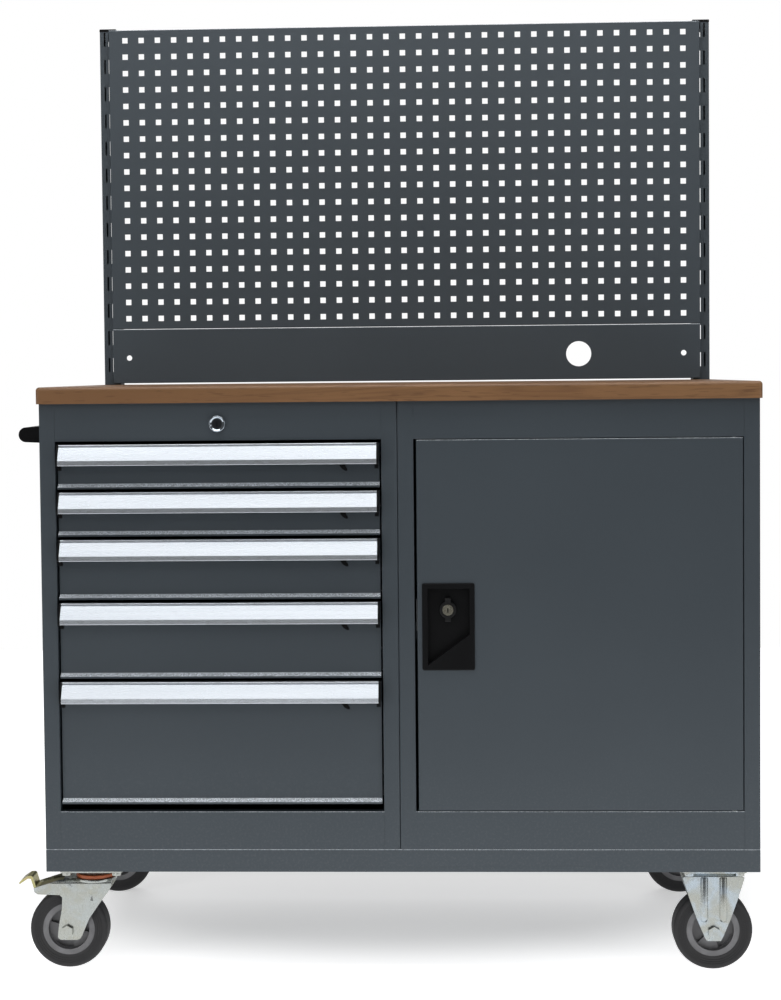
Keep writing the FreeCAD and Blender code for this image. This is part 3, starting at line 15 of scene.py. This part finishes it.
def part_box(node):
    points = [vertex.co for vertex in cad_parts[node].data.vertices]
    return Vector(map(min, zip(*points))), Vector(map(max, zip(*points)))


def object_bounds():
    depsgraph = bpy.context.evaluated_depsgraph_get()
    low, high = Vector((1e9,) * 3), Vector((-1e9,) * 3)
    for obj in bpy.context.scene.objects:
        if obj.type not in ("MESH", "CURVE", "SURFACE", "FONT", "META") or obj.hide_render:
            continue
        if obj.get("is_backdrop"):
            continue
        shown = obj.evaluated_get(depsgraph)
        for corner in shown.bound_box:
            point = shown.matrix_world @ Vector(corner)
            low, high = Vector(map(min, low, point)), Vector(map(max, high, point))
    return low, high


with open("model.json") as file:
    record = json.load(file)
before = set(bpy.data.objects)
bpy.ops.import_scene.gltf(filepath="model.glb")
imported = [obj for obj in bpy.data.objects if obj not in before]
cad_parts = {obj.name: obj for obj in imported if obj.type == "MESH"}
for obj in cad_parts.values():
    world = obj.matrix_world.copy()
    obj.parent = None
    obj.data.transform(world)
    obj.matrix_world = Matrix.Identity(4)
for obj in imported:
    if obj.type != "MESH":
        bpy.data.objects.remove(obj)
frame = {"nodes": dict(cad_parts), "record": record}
cad_low, cad_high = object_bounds()
nodes = frame["nodes"]
slot_of = {entry["node"]: entry["material_slot"] for entry in frame["record"]["subparts"]}
print("bench size", [round(side, 4) for side in cad_high - cad_low])

# %% [markdown]
# ## Shader maths as plain expressions
# A finish is a chain of small sums: noise times a strength, one minus a mask, a colour mixed with another.
# Wiring each of them by hand hides the idea, so one small class wraps a node's output and turns + - * into
# Math nodes. The reflected forms matter too, because "1 - mask" starts with a number.
# Colours and places in space have three parts, so they never go through Math: Mix and Vector Math do that.

# %% A wire that knows arithmetic
class Wire:
    """One value, colour or vector on its way through a finish."""

    def __init__(self, finish, socket):
        self.finish = finish
        self.socket = socket

    def sum_with(self, operation, first, second):
        return self.finish.add("ShaderNodeMath", {"operation": operation}, {0: first, 1: second})

    def __add__(self, other):
        return self.sum_with("ADD", self, other)

    def __sub__(self, other):
        return self.sum_with("SUBTRACT", self, other)

    def __mul__(self, other):
        return self.sum_with("MULTIPLY", self, other)

    def __radd__(self, other):
        return self.sum_with("ADD", other, self)

    def __rsub__(self, other):
        return self.sum_with("SUBTRACT", other, self)

    def above(self, edge):
        return self.sum_with("GREATER_THAN", self, edge)

    def ramp(self, low, high, to_low=0.0, to_high=1.0):
        """The value from low to high becomes to_low to to_high, smoothly and held at both ends."""
        values = {0: self, 1: low, 2: high, 3: to_low, 4: to_high}
        return self.finish.add("ShaderNodeMapRange", {"interpolation_type": "SMOOTHSTEP"}, values)


print("a Wire adds Math nodes for + - and *")

# %% [markdown]
# ## A finish
# Every finish needs the same few things: the place on the piece, noise in several sizes, a way to mix two
# colours, a bump, and the surface shader at the end. The place comes from the object's own coordinates. The
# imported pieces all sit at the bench's origin, so one metre of texture is one metre of steel, and the pattern
# stays with a drawer when the drawer slides out.

# %% One class for all finishes
class Finish:
    """A material under construction."""

    def __init__(self, name):
        self.material = bpy.data.materials.new(name)
        self.material.use_nodes = True
        self.tree = self.material.node_tree
        self.tree.nodes.clear()
        self.place = self.add("ShaderNodeTexCoord", out="Object")

    def add(self, kind, settings=None, values=None, out=0):
        """Any node: its type, its settings first, then what its sockets hold or are fed by."""
        node = self.tree.nodes.new(kind)
        for name, value in (settings or {}).items():
            setattr(node, name, value)
        for name, value in (values or {}).items():
            if isinstance(value, Wire):
                self.tree.links.new(value.socket, node.inputs[name])
            else:
                node.inputs[name].default_value = value
        return Wire(self, node.outputs[out])

    def stretched(self, x=1.0, y=1.0, z=1.0):
        """The place with each axis scaled, for grain and brushing that run one way."""
        return self.add("ShaderNodeVectorMath", {"operation": "MULTIPLY"}, {0: self.place, 1: (x, y, z)})

    def noise(self, per_metre, detail=2.0, rough=0.5, place=None, bend=0.0):
        values = {"Vector": place or self.place, "Scale": per_metre, "Detail": detail, "Roughness": rough,
                  "Distortion": bend}
        return self.add("ShaderNodeTexNoise", {}, values)

    def cells(self, per_metre, out="Distance"):
        return self.add("ShaderNodeTexVoronoi", {}, {"Vector": self.place, "Scale": per_metre}, out)

    def mixed(self, factor, first, second):
        """Colour first where factor is 0 and colour second where it is 1."""
        values = {0: factor, 6: colour(first), 7: colour(second)}
        return self.add("ShaderNodeMix", {"data_type": "RGBA"}, values, 2)

    def bump(self, height, depth, strength=1.0):
        return self.add("ShaderNodeBump", {}, {"Height": height, "Distance": depth, "Strength": strength})

    def axis(self, which):
        """One coordinate of the place, as a value."""
        return self.add("ShaderNodeSeparateXYZ", {}, {0: self.place}, which)

    def reach_from(self, point, scale):
        """How far the place is from a point, with each axis of the way there scaled."""
        offset = self.add("ShaderNodeVectorMath", {"operation": "SUBTRACT"}, {0: self.place, 1: point})
        scaled = self.add("ShaderNodeVectorMath", {"operation": "MULTIPLY"}, {0: offset, 1: scale})
        return self.add("ShaderNodeVectorMath", {"operation": "LENGTH"}, {0: scaled}, "Value")

    def from_axis_of(self, low, high):
        """How far the place is from the line that runs front to back through the middle of a box."""
        middle_point = ((low[0] + high[0]) / 2, 0.0, (low[2] + high[2]) / 2)
        return self.reach_from(middle_point, (1.0, 0.0, 1.0))

    def facing_up(self):
        """The upward part of the surface's own direction: 0 on a wall, 1 on a table."""
        direction = self.add("ShaderNodeTexCoord", out="Normal")
        return self.add("ShaderNodeSeparateXYZ", {}, {0: direction}, "Z")

    def surface(self, sockets):
        """The closing shader, with its constants set on its own sockets."""
        shader = self.add("ShaderNodeBsdfPrincipled", {}, sockets)
        output = self.tree.nodes.new("ShaderNodeOutputMaterial")
        self.tree.links.new(shader.socket, output.inputs["Surface"])
        return self.material


def colour(value):
    """A wire stays a wire, and three parts get their alpha."""
    return value if isinstance(value, Wire) else (*value, 1.0)


finishes = {}
print("finishes are kept by the name of their material slot")

# %% [markdown]
# ## Anthracite powder coat
# The steel is coated with a fine textured powder that is baked on. It leaves tiny hills about a millimetre
# across, so a flat sheet never shines like glass, and light from a low angle picks out single hills as
# sparkles. It could be a flat dark colour, but then wide doors look like paper. Three sizes of noise do the
# work here: hills for the bump, a fine grain in the colour, and broad clouds in the roughness, as on any
# sprayed sheet. On folds that lean back, such as each drawer front's lower edge, a painted highlight of pale
# glints is mixed into the colour, where the hills would catch the light from above and glitter. The colour
# is lifted a little near the floor, partly by dust and partly by painted light that stands in for the light
# the floor throws back.

# %% Powder coat
DUST_AND_BOUNCE_LOW, DUST_AND_BOUNCE_HIGH = 0.16, 0.42    # between these heights the dust and the painted bounce light fade out
DUST_AND_BOUNCE_SHARE = 0.08
LEANS_FROM, LEANS_FULL = 0.30, 0.50    # upward part of a face's direction
NO_LONGER, LIES_FLAT = 0.86, 0.97


def powder_coat():
    coat = Finish("anthracite_powder_coat")
    hills = coat.noise(900, detail=3.0, rough=0.6)
    grains = coat.cells(1500)
    clouds = coat.noise(2.2, detail=4.0)
    specks = coat.noise(1300, detail=1.0).ramp(0.62, 0.74)
    deep, light = (0.0345, 0.0462, 0.0570), (0.0390, 0.0515, 0.0630)
    base = coat.mixed(clouds.ramp(0.3, 0.7), deep, light)
    base = coat.mixed(specks * 0.35, base, (0.085, 0.100, 0.112))
    # dust and painted light: near the floor the colour is lifted, partly by dust and partly as painted bounce
    # light
    bounce_and_dust_height = 1.0 - coat.axis("Z").ramp(DUST_AND_BOUNCE_LOW, DUST_AND_BOUNCE_HIGH)
    dust = bounce_and_dust_height * coat.noise(260, detail=5.0).ramp(0.45, 0.75)
    base = coat.mixed(dust * DUST_AND_BOUNCE_SHARE, base, (0.24, 0.24, 0.235))
    up = coat.facing_up()
    leaning = up.ramp(LEANS_FROM, LEANS_FULL) * (1.0 - up.ramp(NO_LONGER, LIES_FLAT))
    # painted highlight: pale glints mixed into the colour where a face leans back under the light from above
    painted_glints = coat.noise(620, detail=2.0, rough=0.8).ramp(0.42, 0.60)
    base = coat.mixed(leaning * (0.30 + painted_glints * 0.7), base, (0.78, 0.84, 0.90))
    rubbed = coat.noise(14, detail=5.0, rough=0.65, place=coat.stretched(0.4, 1.0, 1.0)).ramp(0.55, 0.8)
    rough = 0.50 + clouds * 0.08 - rubbed * 0.05
    height = hills * 0.7 + grains * 0.5
    return coat.surface({
        "Base Color": base,
        "Roughness": rough,
        "Normal": coat.bump(height, depth=0.00022, strength=0.55),
        "Specular IOR Level": 0.5,
        "IOR": 1.5,
    })


finishes["anthracite_paint"] = powder_coat()
print("made", finishes["anthracite_paint"].name)

# %% [markdown]
# ## Lacquered wood
# The worktop is a beech board, stained warm brown and lacquered. Its fibres run the long way, so the pattern
# is noise drawn out along X: ten times for the rays, sixteen for the figure and over fifty for the fibres.
# Those three layers make it read as wood: broad plain-sawn figure, the fine fibres, and the short dark rays
# that beech is known for. The lacquer is a thin clear coat over it, a little uneven, with faint rub marks
# where tools have slid.

# %% Worktop board
def lacquered_wood():
    board = Finish("lacquered_beech")
    figure = board.noise(9, detail=3.0, rough=0.45, place=board.stretched(0.10, 1.6, 1.6), bend=1.6)
    rings = board.add("ShaderNodeMath", {"operation": "FRACT"}, {0: figure * 7.0})
    rings = (rings - 0.5) * 2.0
    rings = rings * rings
    fibres = board.noise(620, detail=3.0, rough=0.65, place=board.stretched(0.018, 1.0, 1.0))
    rays = board.noise(420, detail=0.0, place=board.stretched(0.10, 1.0, 1.0)).ramp(0.64, 0.78)
    clouds = board.noise(5, detail=3.0, place=board.stretched(0.35, 1.0, 1.0))
    deep, mid, light = (0.105, 0.046, 0.016), (0.175, 0.083, 0.031), (0.235, 0.118, 0.047)
    base = board.mixed(clouds.ramp(0.3, 0.7), mid, light)
    base = board.mixed(rings.ramp(0.2, 1.0) * 0.45, base, deep)
    base = board.mixed(fibres.ramp(0.35, 0.72) * 0.45, base, mid)
    base = board.mixed(rays * 0.5, base, deep)
    rubs = board.noise(35, detail=5.0, rough=0.7, place=board.stretched(0.5, 1.0, 1.0)).ramp(0.5, 0.8)
    return board.surface({
        "Base Color": base,
        "Roughness": 0.44 + fibres * 0.12 + rubs * 0.08,
        "Normal": board.bump(fibres * 0.6 + rays * -0.5, depth=0.00012, strength=0.5),
        "Coat Weight": 0.16 - rubs * 0.06,
        "Coat Roughness": 0.22,
        "IOR": 1.48,
    })


finishes["wood_board"] = lacquered_wood()
print("made", finishes["wood_board"].name)

# %% [markdown]
# ## Anodised aluminium
# The grips are extruded bars, brushed lengthwise and clear anodised. Brushing leaves hair-thin scratches that
# run along X, so the highlight stays narrow along the bar and spreads across it. The scratches are noise
# stretched along X, in the roughness and in a very low bump. A constant anisotropy spreads the light as well.

# %% Grip strips
def grip_aluminium():
    bar = Finish("clear_anodised_aluminium")
    hairs = bar.noise(2400, detail=2.0, rough=0.6, place=bar.stretched(0.012, 1.0, 1.0))
    bands = bar.noise(160, detail=3.0, place=bar.stretched(0.02, 1.0, 1.0))
    prints = bar.noise(22, detail=6.0, rough=0.7).ramp(0.52, 0.78)
    base = bar.mixed(bands.ramp(0.3, 0.7), (0.695, 0.740, 0.795), (0.730, 0.775, 0.830))
    return bar.surface({
        "Base Color": base,
        "Metallic": 0.88 + hairs * 0.06,
        "Roughness": 0.24 + hairs * 0.08 + prints * 0.02,
        "Normal": bar.bump(hairs, depth=0.00004, strength=0.35),
        "Anisotropic": 0.35,
    })


finishes["grip_aluminium"] = grip_aluminium()
print("made", finishes["grip_aluminium"].name)

# %% [markdown]
# ## Black moulded plastic
# Lock plate, push handle, catches and caps are glass-filled nylon from a spark-eroded mould. The mould prints
# a fine grain, and hands polish it. Cells give the grain, and a wide noise moves the gloss.

# %% Black plastic
def black_plastic():
    nylon = Finish("black_nylon")
    grain = nylon.cells(1700)
    fine = nylon.noise(2600, detail=2.0)
    polish = nylon.noise(18, detail=4.0).ramp(0.4, 0.75)
    base = nylon.mixed(fine.ramp(0.3, 0.8), (0.0018, 0.0019, 0.0023), (0.0050, 0.0053, 0.0060))
    return nylon.surface({
        "Base Color": base,
        "Roughness": 0.50 - polish * 0.10 + fine * 0.06,
        "Normal": nylon.bump(grain * 0.7 + fine * 0.4, depth=0.00008, strength=0.4),
        "Specular IOR Level": 0.15,
        "IOR": 1.45,
    })


finishes["black_plastic"] = black_plastic()
print("made", finishes["black_plastic"].name)

# %% [markdown]
# ## Knob and key cylinder
# The door's knob is the same nylon round a nickel plated key cylinder. It is one solid, so its metal face is
# a mask: close to the knob's own axis the surface is nickel with turned rings, and further out it is nylon.

# %% Knob with a key cylinder
KEY_FACE_R = 0.0085
KEY_FACE_DEPTH = 0.0030    # no nickel further back than this from the knob's front
TURNED_RINGS = 4200.0      # radians per metre


def knob_nylon():
    knob_low, knob_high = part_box("door_lock_knob")
    knob = Finish("black_nylon_and_nickel")
    grain = knob.cells(1700)
    fine = knob.noise(2600, detail=2.0)
    reach = knob.from_axis_of(knob_low, knob_high)
    near_front = 1.0 - knob.axis("Y").above(knob_low[1] + KEY_FACE_DEPTH)
    metal = (1.0 - reach.above(KEY_FACE_R)) * near_front
    rings = knob.add("ShaderNodeMath", {"operation": "SINE"}, {0: reach * TURNED_RINGS})
    worn = knob.noise(900, detail=3.0).ramp(0.35, 0.7)
    nickel = knob.mixed(worn, (0.50, 0.48, 0.40), (0.20, 0.19, 0.14))
    nylon = knob.mixed(fine.ramp(0.3, 0.8), (0.0030, 0.0031, 0.0035), (0.0090, 0.0093, 0.0100))
    return knob.surface({
        "Base Color": knob.mixed(metal, nylon, nickel),
        "Metallic": metal,
        "Roughness": 0.44 + fine * 0.06 - metal * 0.16,
        "Normal": knob.bump(grain * 0.7 + metal * rings * 0.5, depth=0.00008, strength=0.4),
        "Specular IOR Level": 0.25,
    })


knob_finish = knob_nylon()
print("made", knob_finish.name)

# %% [markdown]
# ## Zinc in three kinds
# Pressed caster parts are zinc plated and passivated: bright, with a cool sheen that drifts between blue and
# pale green. The pedal has the older yellow passivation. Drawer rails are plain galvanised sheet with soft
# crystals. One function makes all three, because only the three tints, the gloss and the crystals differ.

# %% Plated steel
COOL_FROM, COOL_FULL = -0.3, 0.3    # along X, the sheen turns from warm to cool


def plated_steel(name, tints, gloss, crystals):
    plate = Finish(name)
    first, second, third = tints
    drift = plate.noise(26, detail=3.0, rough=0.5, bend=0.8)
    stain = plate.noise(75, detail=4.0, rough=0.6).ramp(0.50, 0.78)
    spangle = plate.cells(190, out="Color")
    spangle = plate.add("ShaderNodeSeparateColor", {}, {0: spangle}, "Red")
    drawn = plate.noise(900, detail=2.0, place=plate.stretched(1.0, 1.0, 0.05))
    cool_side = plate.axis("X").ramp(COOL_FROM, COOL_FULL)
    base = plate.mixed(drift.ramp(0.36, 0.64) * (0.30 + cool_side * 0.70), first, second)
    base = plate.mixed(stain * (0.60 - cool_side * 0.30), base, third)
    rough = gloss + drawn * 0.12 + spangle * crystals + stain * 0.08
    return plate.surface({
        "Base Color": base,
        "Metallic": 0.96 - stain * 0.10,
        "Roughness": rough,
        "Normal": plate.bump(drawn * 0.5 + spangle * crystals, depth=0.00005, strength=0.4),
    })


zinc_tints = ((0.315, 0.325, 0.300), (0.345, 0.395, 0.435), (0.330, 0.325, 0.265))
yellow_tints = ((0.40, 0.37, 0.17), (0.34, 0.35, 0.21), (0.45, 0.33, 0.20))
sheet_tints = ((0.24, 0.25, 0.26), (0.30, 0.31, 0.32), (0.22, 0.225, 0.22))
finishes["zinc_steel"] = plated_steel("bright_zinc", zinc_tints, gloss=0.20, crystals=0.02)
finishes["pedal_steel"] = plated_steel("yellow_zinc", yellow_tints, gloss=0.26, crystals=0.02)
finishes["galvanised_steel"] = plated_steel("galvanised_sheet", sheet_tints, gloss=0.32, crystals=0.14)
print("made three zinc finishes")

# %% [markdown]
# ## Chrome
# The drawer lock is polished chrome, a little duller where it is worn. Its middle, where the key goes in,
# has a painted dark reflection: a darker tint that fades out towards the rosette's rim.

# %% Lock chrome
PLUG_DARK_R, ROSETTE_BRIGHT_R = 0.0060, 0.0105


def lock_chrome():
    housing_low, housing_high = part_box("drawer_lock_housing")
    chrome = Finish("polished_chrome")
    wear = chrome.noise(300, detail=4.0, rough=0.7).ramp(0.5, 0.8)
    reach = chrome.from_axis_of(housing_low, housing_high)
    # painted dark reflection: the lock's middle is tinted dark, fading out towards the rosette's rim
    painted_dark_reflection = 1.0 - reach.ramp(PLUG_DARK_R, ROSETTE_BRIGHT_R)
    tint = chrome.mixed(wear, (0.42, 0.47, 0.52), (0.34, 0.37, 0.40))
    tint = chrome.mixed(painted_dark_reflection * 0.85, tint, (0.045, 0.050, 0.055))
    return chrome.surface({
        "Base Color": tint,
        "Metallic": 1.0,
        "Roughness": 0.07 + wear * 0.14,
        "Normal": chrome.bump(chrome.noise(1500), depth=0.00002, strength=0.3),
    })


finishes["chrome_lock"] = lock_chrome()
print("made", finishes["chrome_lock"].name)

# %% [markdown]
# ## Rubber and moulded plastic
# Tyres are solid rubber: nearly black, matt, with grey dust worn into them. Hubs are grey moulded plastic,
# and the seal rings an orange brown one. One function makes both, because only colour and gloss differ.

# %% Tyres, hubs and seals
def tyre_rubber():
    rubber = Finish("solid_rubber")
    fine = rubber.noise(700, detail=4.0, rough=0.7)
    dust = rubber.noise(45, detail=6.0, rough=0.7).ramp(0.42, 0.72)
    base = rubber.mixed(dust * 0.45, (0.011, 0.011, 0.0125), (0.042, 0.041, 0.041))
    return rubber.surface({
        "Base Color": base,
        "Roughness": 0.68 + dust * 0.18,
        "Normal": rubber.bump(fine, depth=0.0002, strength=0.5),
        "IOR": 1.5,
    })


def moulded(name, dark, light, gloss):
    """A plain moulded plastic: faint flow clouds and a fine grain."""
    plastic = Finish(name)
    clouds = plastic.noise(40, detail=4.0)
    grain = plastic.noise(1600, detail=2.0)
    return plastic.surface({
        "Base Color": plastic.mixed(clouds.ramp(0.3, 0.7), dark, light),
        "Roughness": gloss + clouds * 0.10,
        "Normal": plastic.bump(grain, depth=0.00006, strength=0.4),
        "IOR": 1.48,
    })


finishes["tyre_rubber"] = tyre_rubber()
hub_greys = ((0.115, 0.115, 0.12), (0.165, 0.165, 0.172))
seal_browns = ((0.330, 0.072, 0.018), (0.430, 0.105, 0.030))
finishes["hub_plastic"] = moulded("grey_hub_plastic", *hub_greys, gloss=0.42)
finishes["seal_plastic"] = moulded("orange_brown_plastic", *seal_browns, gloss=0.38)
print("made", len(finishes), "finishes")

# %% [markdown]
# ## Dressing the solids
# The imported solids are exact, so they stay as they are and only take a material and modifiers. The record
# names a material slot for every node, so one loop dresses them all, and the knob takes its own finish after.

# %% Materials on every node
def dress(node, finish):
    mesh = nodes[node].data
    mesh.materials.clear()
    mesh.materials.append(finish)


for node, slot in slot_of.items():
    dress(node, finishes[slot])
dress("door_lock_knob", knob_finish)
print("dressed", len(slot_of), "nodes")

# %% [markdown]
# ## Soft edges
# A bent sheet or a cut bar never has a knife edge, and an edge without a radius catches no light. A weld
# joins the triangles first, then a bevel of a few tenths of a millimetre rounds what is sharper than thirty
# degrees. The panel with its 630 holes keeps its edges. So do other large sheets, because a bevel had left a
# streak on the lower panel and a bulge on the door.

# %% Soft edges
EDGE_WIDTH = {
    "anthracite_paint": 0.0004,
    "grip_aluminium": 0.0003,
    "black_plastic": 0.0005,
    "zinc_steel": 0.0004,
    "pedal_steel": 0.0006,
    "galvanised_steel": 0.0003,
    "wood_board": 0.0008,
}
WELD_REACH = 0.00001
BEVEL_STEPS = 2
SHARPER_THAN = math.radians(30)


def soften(node, width):
    """Weld, then bevel the sharp edges, and keep flat faces flat in the shading."""
    piece = nodes[node]
    weld = piece.modifiers.new("weld", "WELD")
    weld.merge_threshold = WELD_REACH
    bevel = piece.modifiers.new("soft_edges", "BEVEL")
    bevel.width = width
    bevel.segments = BEVEL_STEPS
    bevel.limit_method = "ANGLE"
    bevel.angle_limit = SHARPER_THAN
    bevel.harden_normals = True


LEFT_SHARP = ("perforated_panel", "lower_panel", "left_upright", "right_upright", "shelf", "door")
softened = [node for node, slot in slot_of.items() if slot in EDGE_WIDTH and node not in LEFT_SHARP]
for node in softened:
    soften(node, EDGE_WIDTH[slot_of[node]])
print("softened", len(softened), "nodes")

# %% [markdown]
# ## Studio floor
# A pale floor runs back into a white backdrop. It gives off painted light of its own: less of it near the
# bench, which paints a shadow there, and more of it further away, so that its far edge runs into the
# backdrop unseen.

# %% Floor
SHADOW_MIDDLE = (0.0, 0.30, 0.0)
SHADOW_SHAPE = (0.7, 1.0, 1.0)       # the shadow is wide, so a metre along X counts for 0.7
GLOW_FROM, GLOW_FULL = 0.36, 0.70    # distance from the shadow's middle, counted that way
GLOW_NEAR, GLOW_FAR = 0.49, 0.99


def pale_floor():
    ground = Finish("pale_floor_with_painted_glow")
    clouds = ground.noise(1.5, detail=3.0)
    away = ground.reach_from(SHADOW_MIDDLE, SHADOW_SHAPE)
    # painted light: the floor glows, less near the bench, which paints a shadow there, and more further away
    painted_floor_glow = away.ramp(GLOW_FROM, GLOW_FULL, GLOW_NEAR, GLOW_FAR)
    return ground.surface({
        "Base Color": ground.mixed(clouds, (0.84, 0.84, 0.85), (0.88, 0.88, 0.885)),
        "Roughness": 0.62 + clouds * 0.1,
        "Emission Color": ground.mixed(painted_floor_glow, (0.0, 0.0, 0.0), (1.0, 1.0, 1.0)),
        "Emission Strength": 1.0,
        "Specular IOR Level": 0.2,
    })


FLOOR_SIDE, FLOOR_FRONT, FLOOR_BACK = 3.0, -1.6, 3.4
corners = [(-FLOOR_SIDE, FLOOR_FRONT, 0), (FLOOR_SIDE, FLOOR_FRONT, 0), (FLOOR_SIDE, FLOOR_BACK, 0),
           (-FLOOR_SIDE, FLOOR_BACK, 0)]
floor_mesh = bpy.data.meshes.new("studio_floor")
floor_mesh.from_pydata(corners, [], [(0, 1, 2, 3)])
floor_mesh.materials.append(pale_floor())
floor = bpy.data.objects.new("studio_floor", floor_mesh)
bpy.context.collection.objects.link(floor)
floor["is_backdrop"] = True
print("floor", 2 * FLOOR_SIDE, "m wide and", FLOOR_BACK - FLOOR_FRONT, "m deep")

# %% [markdown]
# ## Lights and backdrop
# The backdrop is bright to look at, but gives only a soft grey light, or chrome and zinc would have nothing
# dark to mirror and would look like chalk. Five large soft lights shape the bench: one overhead, which is
# what the leaning grip faces mirror, one before it, one at each front side, and one behind for the rear.

# %% Lights and air
def soft_light(name, place, aim, width, height, power):
    lamp = bpy.data.lights.new(name, "AREA")
    lamp.shape = "RECTANGLE"
    lamp.size = width
    lamp.size_y = height
    lamp.energy = power
    holder = bpy.data.objects.new(name, lamp)
    holder.location = place
    holder.rotation_euler = (Vector(aim) - Vector(place)).to_track_quat("-Z", "Y").to_euler()
    bpy.context.collection.objects.link(holder)


# name, place, aim, width, height, watts
SOFTBOXES = (
    ("overhead_softbox", (0.0, -0.7, 3.1), (0.0, 0.1, 1.1), 3.4, 1.2, 52),
    ("front_softbox", (0.0, -2.7, 2.9), (0.0, 0.0, 0.6), 3.8, 2.0, 26),
    ("left_softbox", (-3.2, -2.6, 1.4), (0.0, 0.0, 0.4), 1.6, 2.4, 20),
    ("right_softbox", (3.3, -2.6, 1.3), (0.0, 0.0, 0.4), 1.4, 2.2, 14),
    ("back_softbox", (0.0, 2.8, 2.6), (0.0, 0.0, 0.8), 3.0, 1.6, 26),
)
for softbox in SOFTBOXES:
    soft_light(*softbox)

AIR_SEEN, AIR_FELT = 1.0, 0.14
world = bpy.data.worlds.new("white_backdrop")
world.use_nodes = True
air = world.node_tree.nodes["Background"]
who_looks = world.node_tree.nodes.new("ShaderNodeLightPath")
brightness = world.node_tree.nodes.new("ShaderNodeMapRange")
brightness.inputs["To Min"].default_value = AIR_FELT
brightness.inputs["To Max"].default_value = AIR_SEEN
world.node_tree.links.new(who_looks.outputs["Is Camera Ray"], brightness.inputs["Value"])
world.node_tree.links.new(brightness.outputs["Result"], air.inputs["Strength"])
air.inputs["Color"].default_value = (1.0, 1.0, 1.0, 1.0)
bpy.context.scene.world = world
bpy.context.scene.view_settings.view_transform = "Standard"
print(len(SOFTBOXES), "soft lights before a white backdrop")

# %% [markdown]
# ## Camera
# The bench is seen from waist height, some three and a half metres away, through a medium long lens. The
# camera looks almost straight at the front, turned a little to the left, tipped down a little, and its frame
# is shifted so that the bench fills it.

# %% Camera
SENSOR = 36.0
LENS = 91.68
CAMERA_PLACE = (0.1152, -3.4029, 0.9532)
TURN_LEFT, TIP, ROLL = 2.369, -2.449, 0.542
SHIFT_X, SHIFT_Y = 0.0225, -0.0551
SEES_AS_FAR_AS = 100.0

lens = bpy.data.cameras.new("standing_camera")
lens.sensor_width = SENSOR
lens.sensor_fit = "HORIZONTAL"
lens.lens = LENS
lens.shift_x = SHIFT_X
lens.shift_y = SHIFT_Y
lens.clip_end = SEES_AS_FAR_AS
camera = bpy.data.objects.new("standing_camera", lens)
turn = Matrix.Rotation(math.radians(TURN_LEFT), 4, "Z")
tip = Matrix.Rotation(math.radians(TIP), 4, "X")
roll = Matrix.Rotation(math.radians(ROLL), 4, "Y")
upright = Matrix.Rotation(math.radians(90), 4, "X")
camera.matrix_world = Matrix.Translation(CAMERA_PLACE) @ turn @ tip @ roll @ upright
bpy.context.collection.objects.link(camera)
bpy.context.scene.camera = camera
middle = (cad_low + cad_high) / 2
print("camera", round((Vector(CAMERA_PLACE) - middle).length, 2), "m from the bench's middle")

# %% [markdown]
# ## Closing
# The finishes and bevels must not change the bench's size, so the box after dressing is set against the box
# before, and the change is printed.

# %% Sizes and finish
seen_low, seen_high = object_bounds()
change = (seen_high - seen_low) - (cad_high - cad_low)
print("size change", [round(side * 1000, 2) for side in change], "mm")
